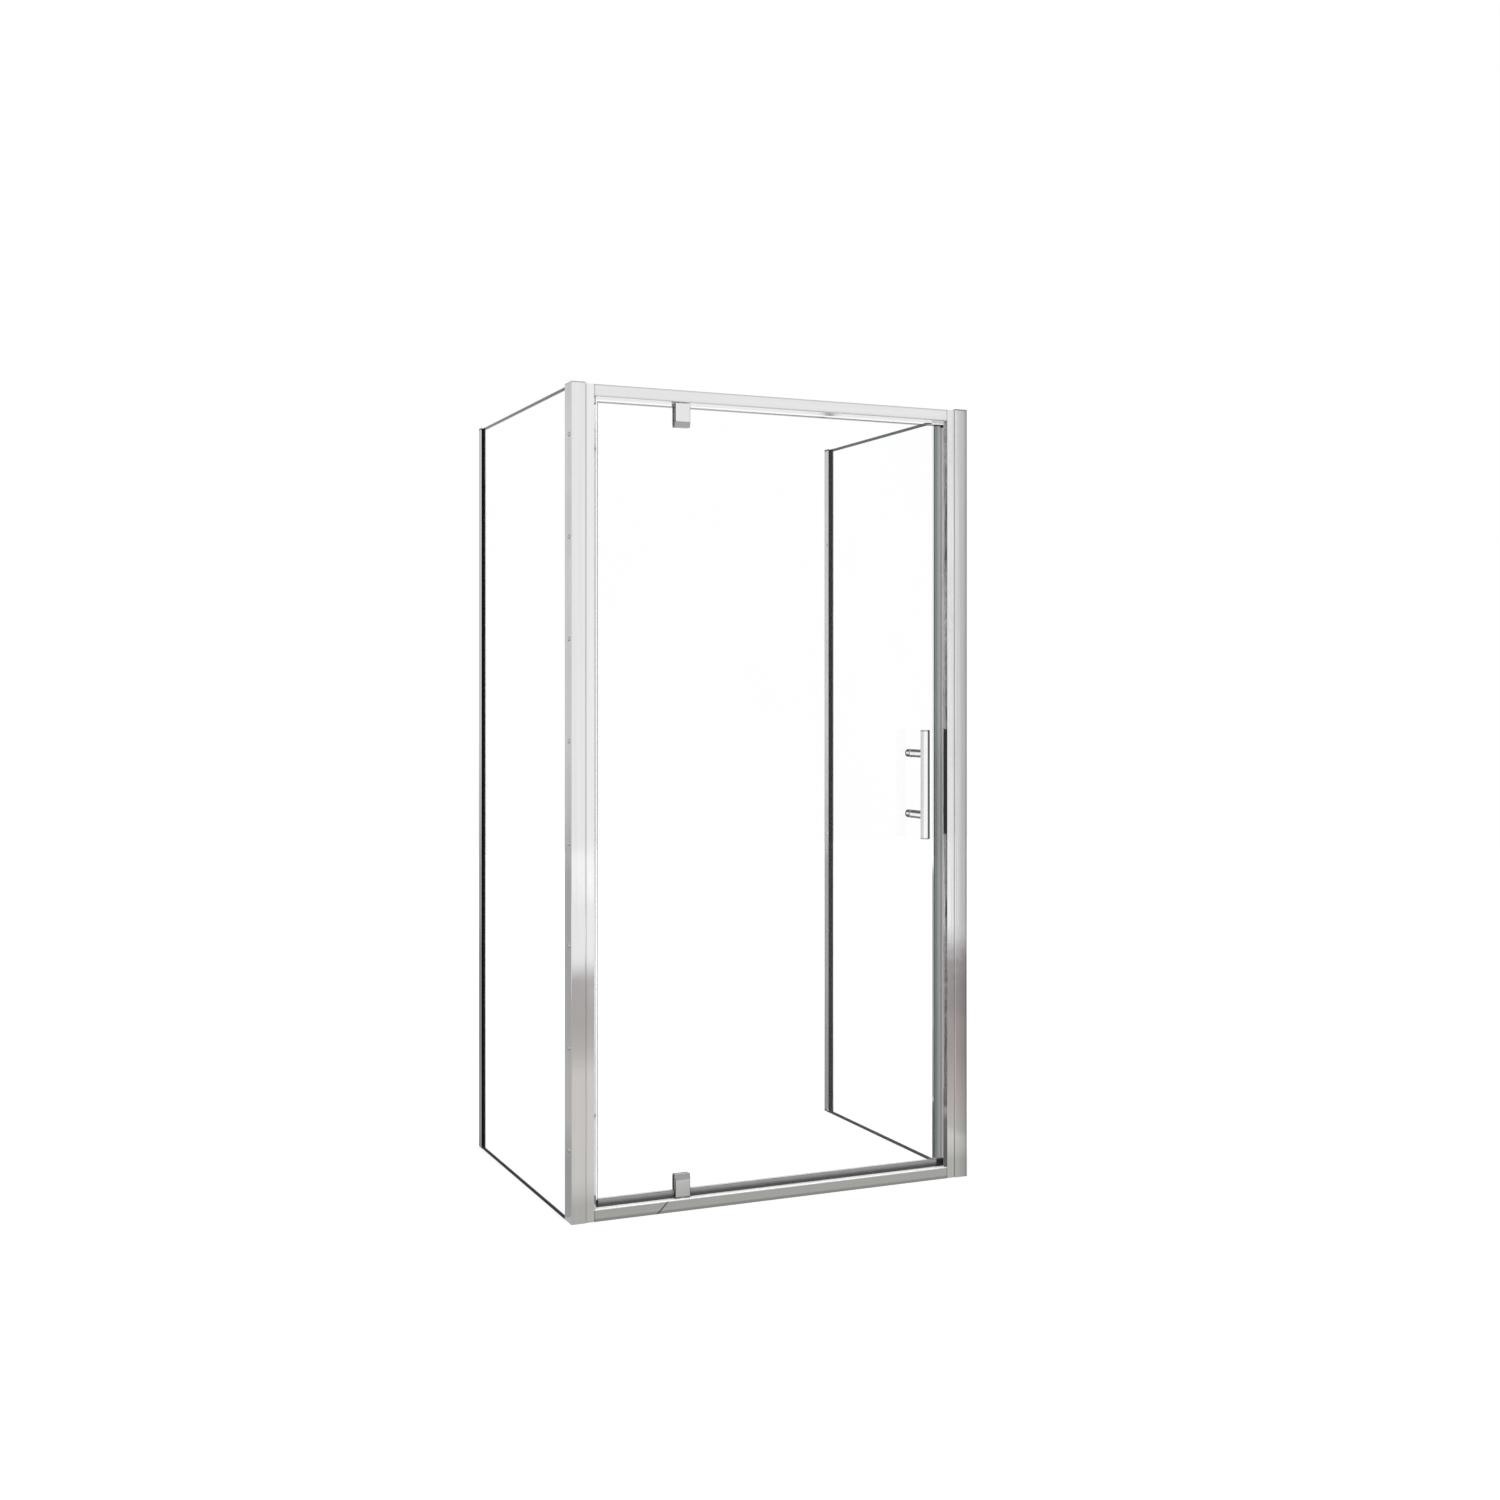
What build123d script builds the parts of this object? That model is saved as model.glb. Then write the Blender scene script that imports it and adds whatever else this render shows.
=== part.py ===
from build123d import *
import os

# A three-sided shower enclosure: a framed front with a pivot door, and two fixed glass sides
# that run back to a wall. Sizes are in millimetres. X runs to the right as seen from the
# front, Y runs back to the wall and Z runs up. The origin is on the floor, half way along
# the threshold, in the middle plane of the closed door's glass.

# The whole enclosure, over the corner posts
overall_width = 1000.0
overall_depth = 760.0
overall_height = 1850.0

# Glass
glass_thickness = 6.0
glass_arris = 1.2
door_setback = 17.0
side_glass_top_drop = 5.0
side_glass_floor_gap = 2.0

# Walls of the extruded profiles
frame_wall = 1.5
lip_wall = 1.3

# Corner post covers
post_face_width = 33.0
post_side_width = 25.0
post_return_depth = 3.0
post_edge_radius = 1.2

# Side profiles that hold the side glass behind each post
flange_width = 20.0
pocket_depth = 22.0

# Gaskets round the side glass
gasket_lip = 0.7
gasket_floor = 1.0
gasket_proud = 1.0
gasket_bead_inset = 0.3

# Caps on the posts
cap_thickness = 3.0
cap_edge_radius = 1.0
cap_blade_depth = 12.0
cap_blade_clearance = 0.2

# Jambs, which slide in the posts on thin ribs
groove_width = 3.0
jamb_face_width = 24.0
jamb_face_step = 2.0
jamb_reveal_back = 66.0
jamb_rear_width = 12.0
jamb_bevel = 7.0
jamb_edge_radius = 0.5
tongue_gap = 2.0
tongue_end_gap = 0.3
rib_gap = 0.3
rib_width = 1.5
rib_shares = (0.3, 0.75)
jamb_plug_depth = 6.0
jamb_plug_clearance = 0.15

# Top rail and threshold, one section
rail_height = 27.0
rail_depth = 45.0
rail_edge_radius = 1.5

# Screw ports along the rails, and the screws through the jambs into them
port_bore_radius = 1.95
port_wall = 1.45
port_standoff = 1.7
port_bush_gap = 0.5
port_web = 2.4
corner_screw_radius = 1.9
corner_screw_length = 25.0
corner_screw_hole_radius = 2.15
corner_screw_head_radius = 3.5
corner_screw_head_height = 2.4
driver_hole_radius = 3.0
screw_head_bevel_share = 0.35

# The 45 degree joint in the threshold and the sleeve inside it
scarf_offset = 50.5
scarf_gap = 0.8
joiner_reach = 39.0
joiner_wall = 2.0
joiner_clearance = 0.3
joiner_bush_gap = 4.0

# Screws through post, side profile and jamb, and the caps over their heads
side_screw_count = 8
side_screw_top_drop = 115.0
side_screw_floor_rise = 160.0
side_screw_setback = 19.0
side_screw_radius = 1.75
side_screw_length = 14.0
side_screw_hole_radius = 2.2
side_screw_pilot_radius = 1.8
side_screw_head_radius = 4.0
side_screw_head_height = 1.6
screw_cap_radius = 5.2
screw_cap_height = 2.5
screw_cap_clearance = 0.1
screw_cap_edge_radius = 1.2

# Wall channels
channel_depth = 25.0
channel_glass_bite = 14.0
wall_hole_radius = 2.25

# Screws that clamp the glass in the wall channels
clamp_screw_count = 6
clamp_screw_top_drop = 269.0
clamp_screw_floor_rise = 236.0
clamp_screw_setback = 9.0
clamp_screw_radius = 1.95
clamp_screw_hole_radius = 2.0
clamp_screw_head_radius = 3.5
clamp_screw_head_height = 1.8

# Wall screw holes, in the same rows as the clamp screws but lower
wall_hole_drop = 60.0

# Seals under the side glass
floor_seal_height = 6.0
floor_seal_end_gap = 0.3

# Door
hinge_side_gap = 7.0
closing_side_gap = 15.5
door_threshold_gap = 11.0
door_head_gap = 8.0
pivot_inset = 206.0

# Pivot blocks
block_width = 37.0
block_height = 54.0
block_plate = 7.0
block_rail_gap = 1.0
block_bevel_height = 13.0
block_bevel_depth = 3.5
block_side_bevel = 1.4
block_foot_gap = 1.0
pad_thickness = 1.0
pad_margin = 1.0

# Screws through the pivot blocks and the sleeves round them
block_screw_spacing = 18.0
block_screw_rise = 28.0
block_screw_radius = 2.45
block_screw_bore_radius = 2.5
block_screw_tip_margin = 2.0
block_screw_head_radius = 4.7
block_screw_head_land = 0.4
block_screw_socket_radius = 1.7
block_screw_socket_sides = 6
block_screw_socket_depth = 1.6
sleeve_radius = 5.0
sleeve_hole_clearance = 0.2
sleeve_wall = 2.3

# Pivot pins and bushes
pin_radius = 5.0
pin_seat_clearance = 0.02
pin_bush_clearance = 0.06
pin_reach = 13.5
pin_end_clearance = 0.5
pin_edge_chamfer = 0.8
bush_radius = 7.5
bush_hole_clearance = 0.05
bush_flange_radius = 10.5
bush_flange_thickness = 0.8

# Handle
handle_edge_inset = 63.0
handle_centre_height = 950.0
handle_bar_radius = 11.0
handle_bar_length = 258.0
handle_bar_edge_radius = 1.5
handle_standoff = 58.0
handle_post_radius = 10.0
handle_post_spacing = 145.0
handle_post_clearance = 0.02
knob_radius = 10.0
knob_length = 19.0
knob_edge_radius = 2.5
washer_thickness = 1.0
washer_collar_radius = 5.8
washer_collar_depth = 2.8
washer_hole_radius = 4.1
glass_hole_radius = 6.0
stud_radius = 4.0
stud_bore_radius = 4.02
stud_post_depth = 15.0
stud_knob_depth = 12.0

# Clear seals on the door's edges and the jamb
seal_wall = 1.0
seal_grip = 10.0
side_seal_grip = 4.0
magnet_box_width = 9.0
magnet_clearance = 0.15
magnet_meeting_gap = 0.4
strip_flange_width = 16.0
jamb_strip_share = 0.4
bulb_radius = 2.2
bulb_wall = 0.6
seal_stack_gap = 0.3

# Bottom seal
bottom_web = 1.2
bottom_body_height = 7.2
bottom_body_taper = 1.0
bottom_body_wall = 0.8
wiper_thickness = 1.0
wiper_threshold_gap = 0.6
drip_fin_reach = 7.0
drip_fin_drop = 4.3
drip_fin_thickness = 0.9
bottom_seal_block_gap = 0.4

# Overrun of every cut past the piece that it cuts
cut_over = 1.0

# Places that follow from the sizes above
left_x = -overall_width / 2
front_y = -(door_setback + glass_thickness / 2)
wall_y = front_y + overall_depth
frame_top = overall_height - cap_thickness
half_glass = glass_thickness / 2

groove_u = post_face_width + groove_width
jamb_u = groove_u + jamb_face_width
jamb_x = left_x + jamb_u
glass_u = lip_wall + gasket_lip
inner_lip_u = glass_u + glass_thickness + gasket_lip
pocket_outer_u = inner_lip_u + lip_wall
pocket_back_v = post_side_width + pocket_depth
tongue_u = frame_wall + frame_wall + tongue_end_gap
tongue_front_v = frame_wall + tongue_gap
tongue_back_v = post_side_width - tongue_gap
rear_chamber_u = jamb_u - jamb_rear_width
rib_places = [tongue_u + share * (post_face_width - tongue_u) for share in rib_shares]

rail_front_y = front_y + jamb_face_step
rail_back_y = rail_front_y + rail_depth
rail_top_z = frame_top - rail_height
port_radius = port_bore_radius + port_wall
inner_port_y = bush_radius + port_bush_gap + port_radius
rear_port_y = rail_back_y - frame_wall - port_radius - port_standoff
port_places = (inner_port_y, rear_port_y)

pivot_x = jamb_x + pivot_inset
door_left_x = jamb_x + hinge_side_gap
door_right_x = -jamb_x - closing_side_gap
door_bottom_z = rail_height + door_threshold_gap
door_top_z = rail_top_z - door_head_gap
handle_x = door_right_x - handle_edge_inset
handle_bar_y = -(half_glass + handle_standoff)

side_glass_top = overall_height - side_glass_top_drop
channel_front_y = wall_y - channel_depth
side_glass_back_y = channel_front_y + channel_glass_bite
side_glass_front_y = front_y + post_side_width + frame_wall + gasket_floor
scarf_x = pivot_x - scarf_offset


def spread(first, last, count):
    """Places from first to last, evenly spaced."""
    return [first + (last - first) * step / (count - 1) for step in range(count)]


side_screw_heights = spread(
    overall_height - side_screw_top_drop, side_screw_floor_rise, side_screw_count
)
clamp_screw_heights = spread(
    overall_height - clamp_screw_top_drop, clamp_screw_floor_rise, clamp_screw_count
)


# General shapes
def plan_face(outline):
    """A face in plan from points that are (in from the left side, back from the front)."""
    return Polygon(*[(left_x + u, front_y + v) for u, v in outline])


def left_length(face, bottom, top):
    """A straight length of profile, standing between two heights."""
    return Pos(0, 0, bottom) * extrude(face, top - bottom)


def plan_block(x_from, x_to, y_from, y_to, bottom, top):
    """A rectangular block given by its sides."""
    face = Polygon((x_from, y_from), (x_to, y_from), (x_to, y_to), (x_from, y_to))
    return Pos(0, 0, bottom) * extrude(face, top - bottom)


def rounded(face, corners, radius):
    """Round the named corners of a face in plan."""
    for u, v in corners:
        target = (left_x + u, front_y + v, 0)
        nearest = face.vertices().sort_by_distance(target)[0]
        face = fillet(nearest, radius)
    return face


def rod_x(radius, x_from, x_to, y, z):
    """A round rod along X."""
    middle = (x_from + x_to) / 2
    return Pos(middle, y, z) * Rot(0, 90, 0) * Cylinder(radius, abs(x_to - x_from))


def rod_y(radius, x, y_from, y_to, z):
    """A round rod along Y."""
    middle = (y_from + y_to) / 2
    return Pos(x, middle, z) * Rot(90, 0, 0) * Cylinder(radius, abs(y_to - y_from))


def rod_z(radius, x, y, z_from, z_to):
    """A round rod along Z."""
    return Pos(x, y, (z_from + z_to) / 2) * Cylinder(radius, abs(z_to - z_from))


def pan_screw(radius, length, head_radius, head_height):
    """A pan-head screw whose head stands up from the origin and whose shank hangs below it."""
    head = Pos(0, 0, head_height / 2) * Cylinder(head_radius, head_height)
    rim = head.edges().filter_by(GeomType.CIRCLE).sort_by(Axis.Z)[-1]
    head = chamfer(rim, head_height * screw_head_bevel_share)
    shank = Pos(0, 0, -length / 2) * Cylinder(radius, length)
    return head + shank


def to_right(piece):
    """The same piece for the right-hand side."""
    return mirror(piece, about=Plane.YZ)


# Wall channel: a slim U whose back is screwed to the wall
def wall_channel():
    web_y = wall_y - frame_wall
    x_outer = left_x
    x_inner = left_x + pocket_outer_u
    channel = plan_block(x_outer, x_inner, channel_front_y, wall_y, 0, frame_top)
    channel -= plan_block(
        x_outer + lip_wall,
        x_inner - lip_wall,
        channel_front_y - cut_over,
        web_y,
        -cut_over,
        frame_top + cut_over,
    )
    middle_x = (x_outer + x_inner) / 2
    clamp_y = channel_front_y + clamp_screw_setback
    for height in clamp_screw_heights:
        hole_z = height - wall_hole_drop
        channel -= rod_y(wall_hole_radius, middle_x, web_y - cut_over, wall_y + cut_over, hole_z)
        channel -= rod_x(
            clamp_screw_hole_radius,
            x_inner - lip_wall - cut_over / 2,
            x_inner + cut_over,
            clamp_y,
            height,
        )
    return channel


def wall_gasket():
    """A U of rubber round the glass edge, with a bead in front of the wall channel's lips."""
    outer_front = channel_front_y - gasket_proud
    outer_back = side_glass_back_y + gasket_floor
    x_outer = left_x + lip_wall
    x_inner = left_x + inner_lip_u
    gasket = plan_block(x_outer, x_inner, outer_front, outer_back, 0, side_glass_top)
    gasket += plan_block(
        left_x + gasket_bead_inset,
        left_x + pocket_outer_u - gasket_bead_inset,
        outer_front,
        channel_front_y,
        0,
        side_glass_top,
    )
    gasket -= plan_block(
        x_outer + gasket_lip,
        x_inner - gasket_lip,
        outer_front - cut_over,
        side_glass_back_y,
        -cut_over,
        side_glass_top + cut_over,
    )
    return gasket


def wall_clamp_screws():
    """Six short screws in the channel's inner wall that press the gasket on the glass."""
    x = left_x + pocket_outer_u
    y = channel_front_y + clamp_screw_setback
    screw = Rot(0, 90, 0) * pan_screw(
        clamp_screw_radius, lip_wall, clamp_screw_head_radius, clamp_screw_head_height
    )
    return Compound([Pos(x, y, height) * screw for height in clamp_screw_heights])


# Side glass and what it stands in
def ground_edges(pane, axis):
    """The pane with the edges of its two faces ground off at 45 degrees."""
    faces = pane.faces().sort_by(axis)
    edges = faces[0].outer_wire().edges() + faces[-1].outer_wire().edges()
    return chamfer(edges, glass_arris)


def side_glass():
    x = left_x + glass_u
    pane = plan_block(
        x,
        x + glass_thickness,
        side_glass_front_y,
        side_glass_back_y,
        side_glass_floor_gap,
        side_glass_top,
    )
    return ground_edges(pane, Axis.X)


def side_floor_seal():
    """A U of rubber under the side glass, between the post's gasket and the wall channel's."""
    x_outer = left_x + gasket_lip
    x_inner = left_x + glass_u + glass_thickness + lip_wall
    y_from = front_y + pocket_back_v + gasket_proud + floor_seal_end_gap
    y_to = channel_front_y - gasket_proud - floor_seal_end_gap
    seal = plan_block(x_outer, x_inner, y_from, y_to, 0, floor_seal_height)
    seal -= plan_block(
        left_x + glass_u,
        left_x + glass_u + glass_thickness,
        y_from - cut_over,
        y_to + cut_over,
        side_glass_floor_gap,
        floor_seal_height + cut_over,
    )
    return seal


def side_gasket():
    """A U of rubber round the front edge of the side glass."""
    x_outer = left_x + lip_wall
    x_inner = left_x + inner_lip_u
    y_from = side_glass_front_y - gasket_floor
    y_to = front_y + pocket_back_v + gasket_proud
    gasket = plan_block(x_outer, x_inner, y_from, y_to, 0, side_glass_top)
    gasket -= plan_block(
        x_outer + gasket_lip,
        x_inner - gasket_lip,
        side_glass_front_y,
        y_to + cut_over,
        -cut_over,
        side_glass_top + cut_over,
    )
    return gasket


# Side profile: glass pocket, web behind the jamb's tongue, and a flange inside the post
def side_profile():
    web_back = post_side_width + frame_wall
    outline = [
        (0, post_side_width),
        (frame_wall, post_side_width),
        (frame_wall, post_side_width - flange_width),
        (frame_wall + frame_wall, post_side_width - flange_width),
        (frame_wall + frame_wall, post_side_width),
        (post_face_width, post_side_width),
        (post_face_width, web_back),
        (pocket_outer_u, web_back),
        (pocket_outer_u, pocket_back_v),
        (inner_lip_u, pocket_back_v),
        (inner_lip_u, web_back),
        (lip_wall, web_back),
        (lip_wall, pocket_back_v),
        (0, pocket_back_v),
    ]
    profile = left_length(plan_face(outline), 0, frame_top)
    for height in side_screw_heights:
        profile -= rod_x(
            side_screw_hole_radius,
            left_x,
            left_x + tongue_u,
            front_y + side_screw_setback,
            height,
        )
    return profile


# Corner post: a cover that wraps the corner and is clamped by the side screws
def corner_post():
    outline = [
        (0, 0),
        (post_face_width, 0),
        (post_face_width, post_return_depth),
        (post_face_width - frame_wall, post_return_depth),
        (post_face_width - frame_wall, frame_wall),
        (frame_wall, frame_wall),
        (frame_wall, post_side_width),
        (0, post_side_width),
    ]
    face = rounded(plan_face(outline), [(0, 0), (post_face_width, 0)], post_edge_radius)
    post = left_length(face, 0, frame_top)
    for height in side_screw_heights:
        post -= rod_x(
            side_screw_hole_radius,
            left_x - cut_over,
            left_x + frame_wall + cut_over / 2,
            front_y + side_screw_setback,
            height,
        )
    return post


def post_cap():
    """A flat cap over post and glass pocket, with two blades beside the jamb's tongue."""
    web_back = post_side_width + frame_wall
    outline = [
        (0, 0),
        (post_face_width, 0),
        (post_face_width, web_back),
        (pocket_outer_u, web_back),
        (pocket_outer_u, pocket_back_v),
        (0, pocket_back_v),
    ]
    face = rounded(plan_face(outline), [(0, 0), (post_face_width, 0)], post_edge_radius)
    cap = left_length(face, frame_top, overall_height)
    cap = fillet(cap.faces().sort_by(Axis.Z)[-1].outer_wire().edges(), cap_edge_radius)
    blade_from = left_x + rib_places[0] + rib_width / 2 + cap_blade_clearance
    blade_to = left_x + rib_places[1] - rib_width / 2 - cap_blade_clearance
    gaps = [(frame_wall, tongue_front_v), (tongue_back_v, post_side_width)]
    for gap_front, gap_back in gaps:
        cap += plan_block(
            blade_from,
            blade_to,
            front_y + gap_front + cap_blade_clearance,
            front_y + gap_back - cap_blade_clearance,
            frame_top - cap_blade_depth,
            frame_top,
        )
    return cap


# Screws through post, side profile and jamb
def post_side_screws():
    screw = Rot(0, -90, 0) * pan_screw(
        side_screw_radius, side_screw_length, side_screw_head_radius, side_screw_head_height
    )
    y = front_y + side_screw_setback
    return Compound([Pos(left_x, y, height) * screw for height in side_screw_heights])


def post_side_caps():
    """A low dome snapped over each side screw's head."""
    dome = Pos(0, 0, screw_cap_height / 2) * Cylinder(screw_cap_radius, screw_cap_height)
    dome = fillet(
        dome.edges().filter_by(GeomType.CIRCLE).sort_by(Axis.Z)[-1], screw_cap_edge_radius
    )
    hollow = side_screw_head_height + screw_cap_clearance
    dome -= Pos(0, 0, hollow / 2) * Cylinder(side_screw_head_radius + screw_cap_clearance, hollow)
    dome = Rot(0, -90, 0) * dome
    y = front_y + side_screw_setback
    return Compound([Pos(left_x, y, height) * dome for height in side_screw_heights])


# Jamb: a ribbed tongue inside the post, a face bevelled towards the door, and a deep reveal
def jamb_front():
    """The outer face in plan of the front chamber, with its bevel."""
    outline = [
        (tongue_u, tongue_front_v),
        (groove_u, tongue_front_v),
        (groove_u, jamb_face_step),
        (jamb_u - jamb_bevel, jamb_face_step),
        (jamb_u, jamb_face_step + jamb_bevel),
        (jamb_u, tongue_back_v),
        (tongue_u, tongue_back_v),
    ]
    return plan_face(outline)


def jamb_front_cavity():
    return offset(jamb_front(), -frame_wall, kind=Kind.INTERSECTION)


def jamb_rear_cavity():
    outline = [
        (rear_chamber_u + frame_wall, tongue_back_v),
        (jamb_u - frame_wall, tongue_back_v),
        (jamb_u - frame_wall, jamb_reveal_back - frame_wall),
        (rear_chamber_u + frame_wall, jamb_reveal_back - frame_wall),
    ]
    return plan_face(outline)


def jamb():
    rear_outline = [
        (rear_chamber_u, tongue_back_v),
        (jamb_u, tongue_back_v),
        (jamb_u, jamb_reveal_back),
        (rear_chamber_u, jamb_reveal_back),
    ]
    bevel_corners = [(jamb_u - jamb_bevel, jamb_face_step), (jamb_u, jamb_face_step + jamb_bevel)]
    face = rounded(jamb_front(), bevel_corners, jamb_edge_radius) + plan_face(rear_outline)
    face = face - jamb_front_cavity() - jamb_rear_cavity()
    length = left_length(face, 0, frame_top)
    for place in rib_places:
        rib_from = left_x + place - rib_width / 2
        rib_to = left_x + place + rib_width / 2
        front_from = front_y + frame_wall + rib_gap
        front_to = front_y + tongue_front_v
        rear_from = front_y + tongue_back_v
        rear_to = front_y + post_side_width - rib_gap
        length += plan_block(rib_from, rib_to, front_from, front_to, 0, frame_top)
        length += plan_block(rib_from, rib_to, rear_from, rear_to, 0, frame_top)
    for height in side_screw_heights:
        length -= rod_x(
            side_screw_pilot_radius,
            left_x + tongue_u - cut_over / 2,
            left_x + tongue_u + frame_wall + cut_over / 2,
            front_y + side_screw_setback,
            height,
        )
    for y in port_places:
        for height in (rail_height / 2, frame_top - rail_height / 2):
            length -= rod_x(
                corner_screw_hole_radius,
                jamb_x - frame_wall - cut_over,
                jamb_x + cut_over,
                y,
                height,
            )
            length -= rod_x(
                driver_hole_radius,
                left_x + rear_chamber_u - cut_over,
                left_x + rear_chamber_u + frame_wall + cut_over,
                y,
                height,
            )
    return length


def jamb_plugs():
    """Two plugs pushed in the open top of a jamb."""
    plugs = []
    for cavity in (jamb_front_cavity(), jamb_rear_cavity()):
        face = offset(cavity, -jamb_plug_clearance)
        plugs.append(left_length(face, frame_top - jamb_plug_depth, frame_top))
    return plugs


# Top rail and threshold: a hollow section with two screw ports along its rear half
def rail_section(bottom):
    """The section in the YZ plane, standing on the given height."""
    middle_y = (rail_front_y + rail_back_y) / 2
    middle_z = bottom + rail_height / 2
    section = Pos(middle_y, middle_z) * RectangleRounded(rail_depth, rail_height, rail_edge_radius)
    hollow_depth = rail_depth - frame_wall - frame_wall
    hollow_height = rail_height - frame_wall - frame_wall
    section -= Pos(middle_y, middle_z) * Rectangle(hollow_depth, hollow_height)
    rear_wall = rail_back_y - frame_wall / 2
    web_middle = (inner_port_y + rear_wall) / 2
    section += Pos(web_middle, middle_z) * Rectangle(rear_wall - inner_port_y, port_web)
    for port_y in port_places:
        section += Pos(port_y, middle_z) * Circle(port_radius)
    for port_y in port_places:
        section -= Pos(port_y, middle_z) * Circle(port_bore_radius)
    return section


def rail_length(bottom):
    """The section run from jamb to jamb, its front wall coped to the bevels of both jambs."""
    end_x = jamb_x - jamb_bevel
    plane = Plane((end_x, 0, 0), x_dir=(0, 1, 0), z_dir=(1, 0, 0))
    length = extrude(plane * rail_section(bottom), -end_x - end_x)
    beyond_u = jamb_u - jamb_bevel - cut_over
    jamb_side = [
        (beyond_u, jamb_face_step - cut_over),
        (jamb_u, jamb_face_step + jamb_bevel),
        (jamb_u, jamb_reveal_back),
        (beyond_u, jamb_reveal_back),
    ]
    cope = left_length(plan_face(jamb_side), bottom - cut_over, bottom + rail_height + cut_over)
    return length - cope - to_right(cope)


def top_rail():
    rail = rail_length(rail_top_z)
    hole = bush_radius + bush_hole_clearance
    wall_top = rail_top_z + frame_wall + cut_over / 2
    return rail - rod_z(hole, pivot_x, 0, rail_top_z - cut_over, wall_top)


def sill_lengths():
    """Both lengths of the threshold, cut at 45 degrees and set a hair apart."""
    sill = rail_length(0)
    hole = bush_radius + bush_hole_clearance
    wall_under = rail_height - frame_wall - cut_over / 2
    sill -= rod_z(hole, pivot_x, 0, wall_under, rail_height + cut_over)
    cut_height = rail_height / 2
    left_plane = Plane((scarf_x - scarf_gap / 2, 0, cut_height), z_dir=(-1, 0, 1))
    right_plane = Plane((scarf_x + scarf_gap / 2, 0, cut_height), z_dir=(1, 0, -1))
    left = split(sill, bisect_by=left_plane, keep=Keep.TOP)
    right = split(sill, bisect_by=right_plane, keep=Keep.TOP)
    return left, right


def sill_joiner():
    """A square sleeve inside the threshold, in front of its screw ports."""
    y_from = rail_front_y + frame_wall + joiner_clearance
    y_to = inner_port_y - port_radius - joiner_clearance
    x_from = scarf_x - joiner_reach
    x_to = pivot_x - bush_radius - joiner_bush_gap
    z_from = frame_wall
    z_to = rail_height - frame_wall - joiner_clearance
    sleeve = plan_block(x_from, x_to, y_from, y_to, z_from, z_to)
    sleeve -= plan_block(
        x_from - cut_over,
        x_to + cut_over,
        y_from + joiner_wall,
        y_to - joiner_wall,
        z_from + joiner_wall,
        z_to - joiner_wall,
    )
    return sleeve


def corner_screws(height):
    """Four screws at one height, two from each jamb into the rail's ports."""
    screw = Rot(0, -90, 0) * pan_screw(
        corner_screw_radius, corner_screw_length, corner_screw_head_radius, corner_screw_head_height
    )
    screws = []
    for port_y in port_places:
        left = Pos(jamb_x - frame_wall, port_y, height) * screw
        screws += [left, to_right(left)]
    return Compound(screws)


# Pivot bush: a flanged plastic cup pressed in the rail, resting on its far wall
def pivot_bush():
    mouth = rail_height + bush_flange_thickness
    bush = rod_z(bush_radius, pivot_x, 0, frame_wall, mouth)
    bush += rod_z(bush_flange_radius, pivot_x, 0, rail_height, mouth)
    bore = pin_radius + pin_bush_clearance
    bore_floor = rail_height + block_rail_gap - pin_reach - pin_end_clearance
    return bush - rod_z(bore, pivot_x, 0, bore_floor, mouth + cut_over)


# Door glass, drilled for the handle and the pivot blocks
def block_screw_places():
    """X and height of each pivot block screw, the bottom block's pair first."""
    low = rail_height + block_rail_gap + block_screw_rise
    high = rail_top_z - block_rail_gap - block_screw_rise
    half = block_screw_spacing / 2
    return [(pivot_x + side * half, height) for height in (low, high) for side in (-1, 1)]


def handle_heights():
    half = handle_post_spacing / 2
    return [handle_centre_height - half, handle_centre_height + half]


def door_glass():
    pane = plan_block(
        door_left_x, door_right_x, -half_glass, half_glass, door_bottom_z, door_top_z
    )
    pane = ground_edges(pane, Axis.Y)
    over = half_glass + cut_over
    for x, height in block_screw_places():
        pane -= rod_y(sleeve_radius + sleeve_hole_clearance, x, -over, over, height)
    for height in handle_heights():
        pane -= rod_y(glass_hole_radius, handle_x, -over, over, height)
    return pane


# Pivot blocks: two plates clamped on the glass; the outer one has the foot that takes the pin
def bevelled_plate(face_y, outer_y, bottom, top):
    """A plate standing on the glass pad, its free end bevelled towards the glass."""
    lean = block_bevel_depth if outer_y > face_y else -block_bevel_depth
    outline = [
        (face_y, bottom),
        (outer_y, bottom),
        (outer_y, top - block_bevel_height),
        (outer_y - lean, top),
        (face_y, top),
    ]
    plane = Plane((pivot_x, 0, 0), x_dir=(0, 1, 0), z_dir=(1, 0, 0))
    section = plane * make_face(Polyline(*outline, close=True))
    plate = extrude(section, block_width / 2, both=True)
    on_face = plate.edges().filter_by(Axis.Z).group_by(lambda edge: abs(edge.center().Y))[-1]
    return chamfer(on_face, block_side_bevel)


def block_outer(bottom, foot_height):
    face_y = -(half_glass + pad_thickness)
    plate = bevelled_plate(face_y, face_y - block_plate, bottom, bottom + block_height)
    half = block_width / 2
    foot = plan_block(
        pivot_x - half,
        pivot_x + half,
        face_y,
        half_glass + pad_thickness + block_plate,
        bottom,
        bottom + foot_height,
    )
    block = plate + foot
    seat = pin_radius + pin_seat_clearance
    block -= rod_z(seat, pivot_x, 0, bottom - cut_over, bottom + foot_height + cut_over)
    bore_end = face_y - block_plate + block_screw_tip_margin
    for side in (-1, 1):
        x = pivot_x + side * block_screw_spacing / 2
        height = bottom + block_screw_rise
        block -= rod_y(block_screw_bore_radius, x, bore_end, face_y + cut_over, height)
    return block


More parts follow.
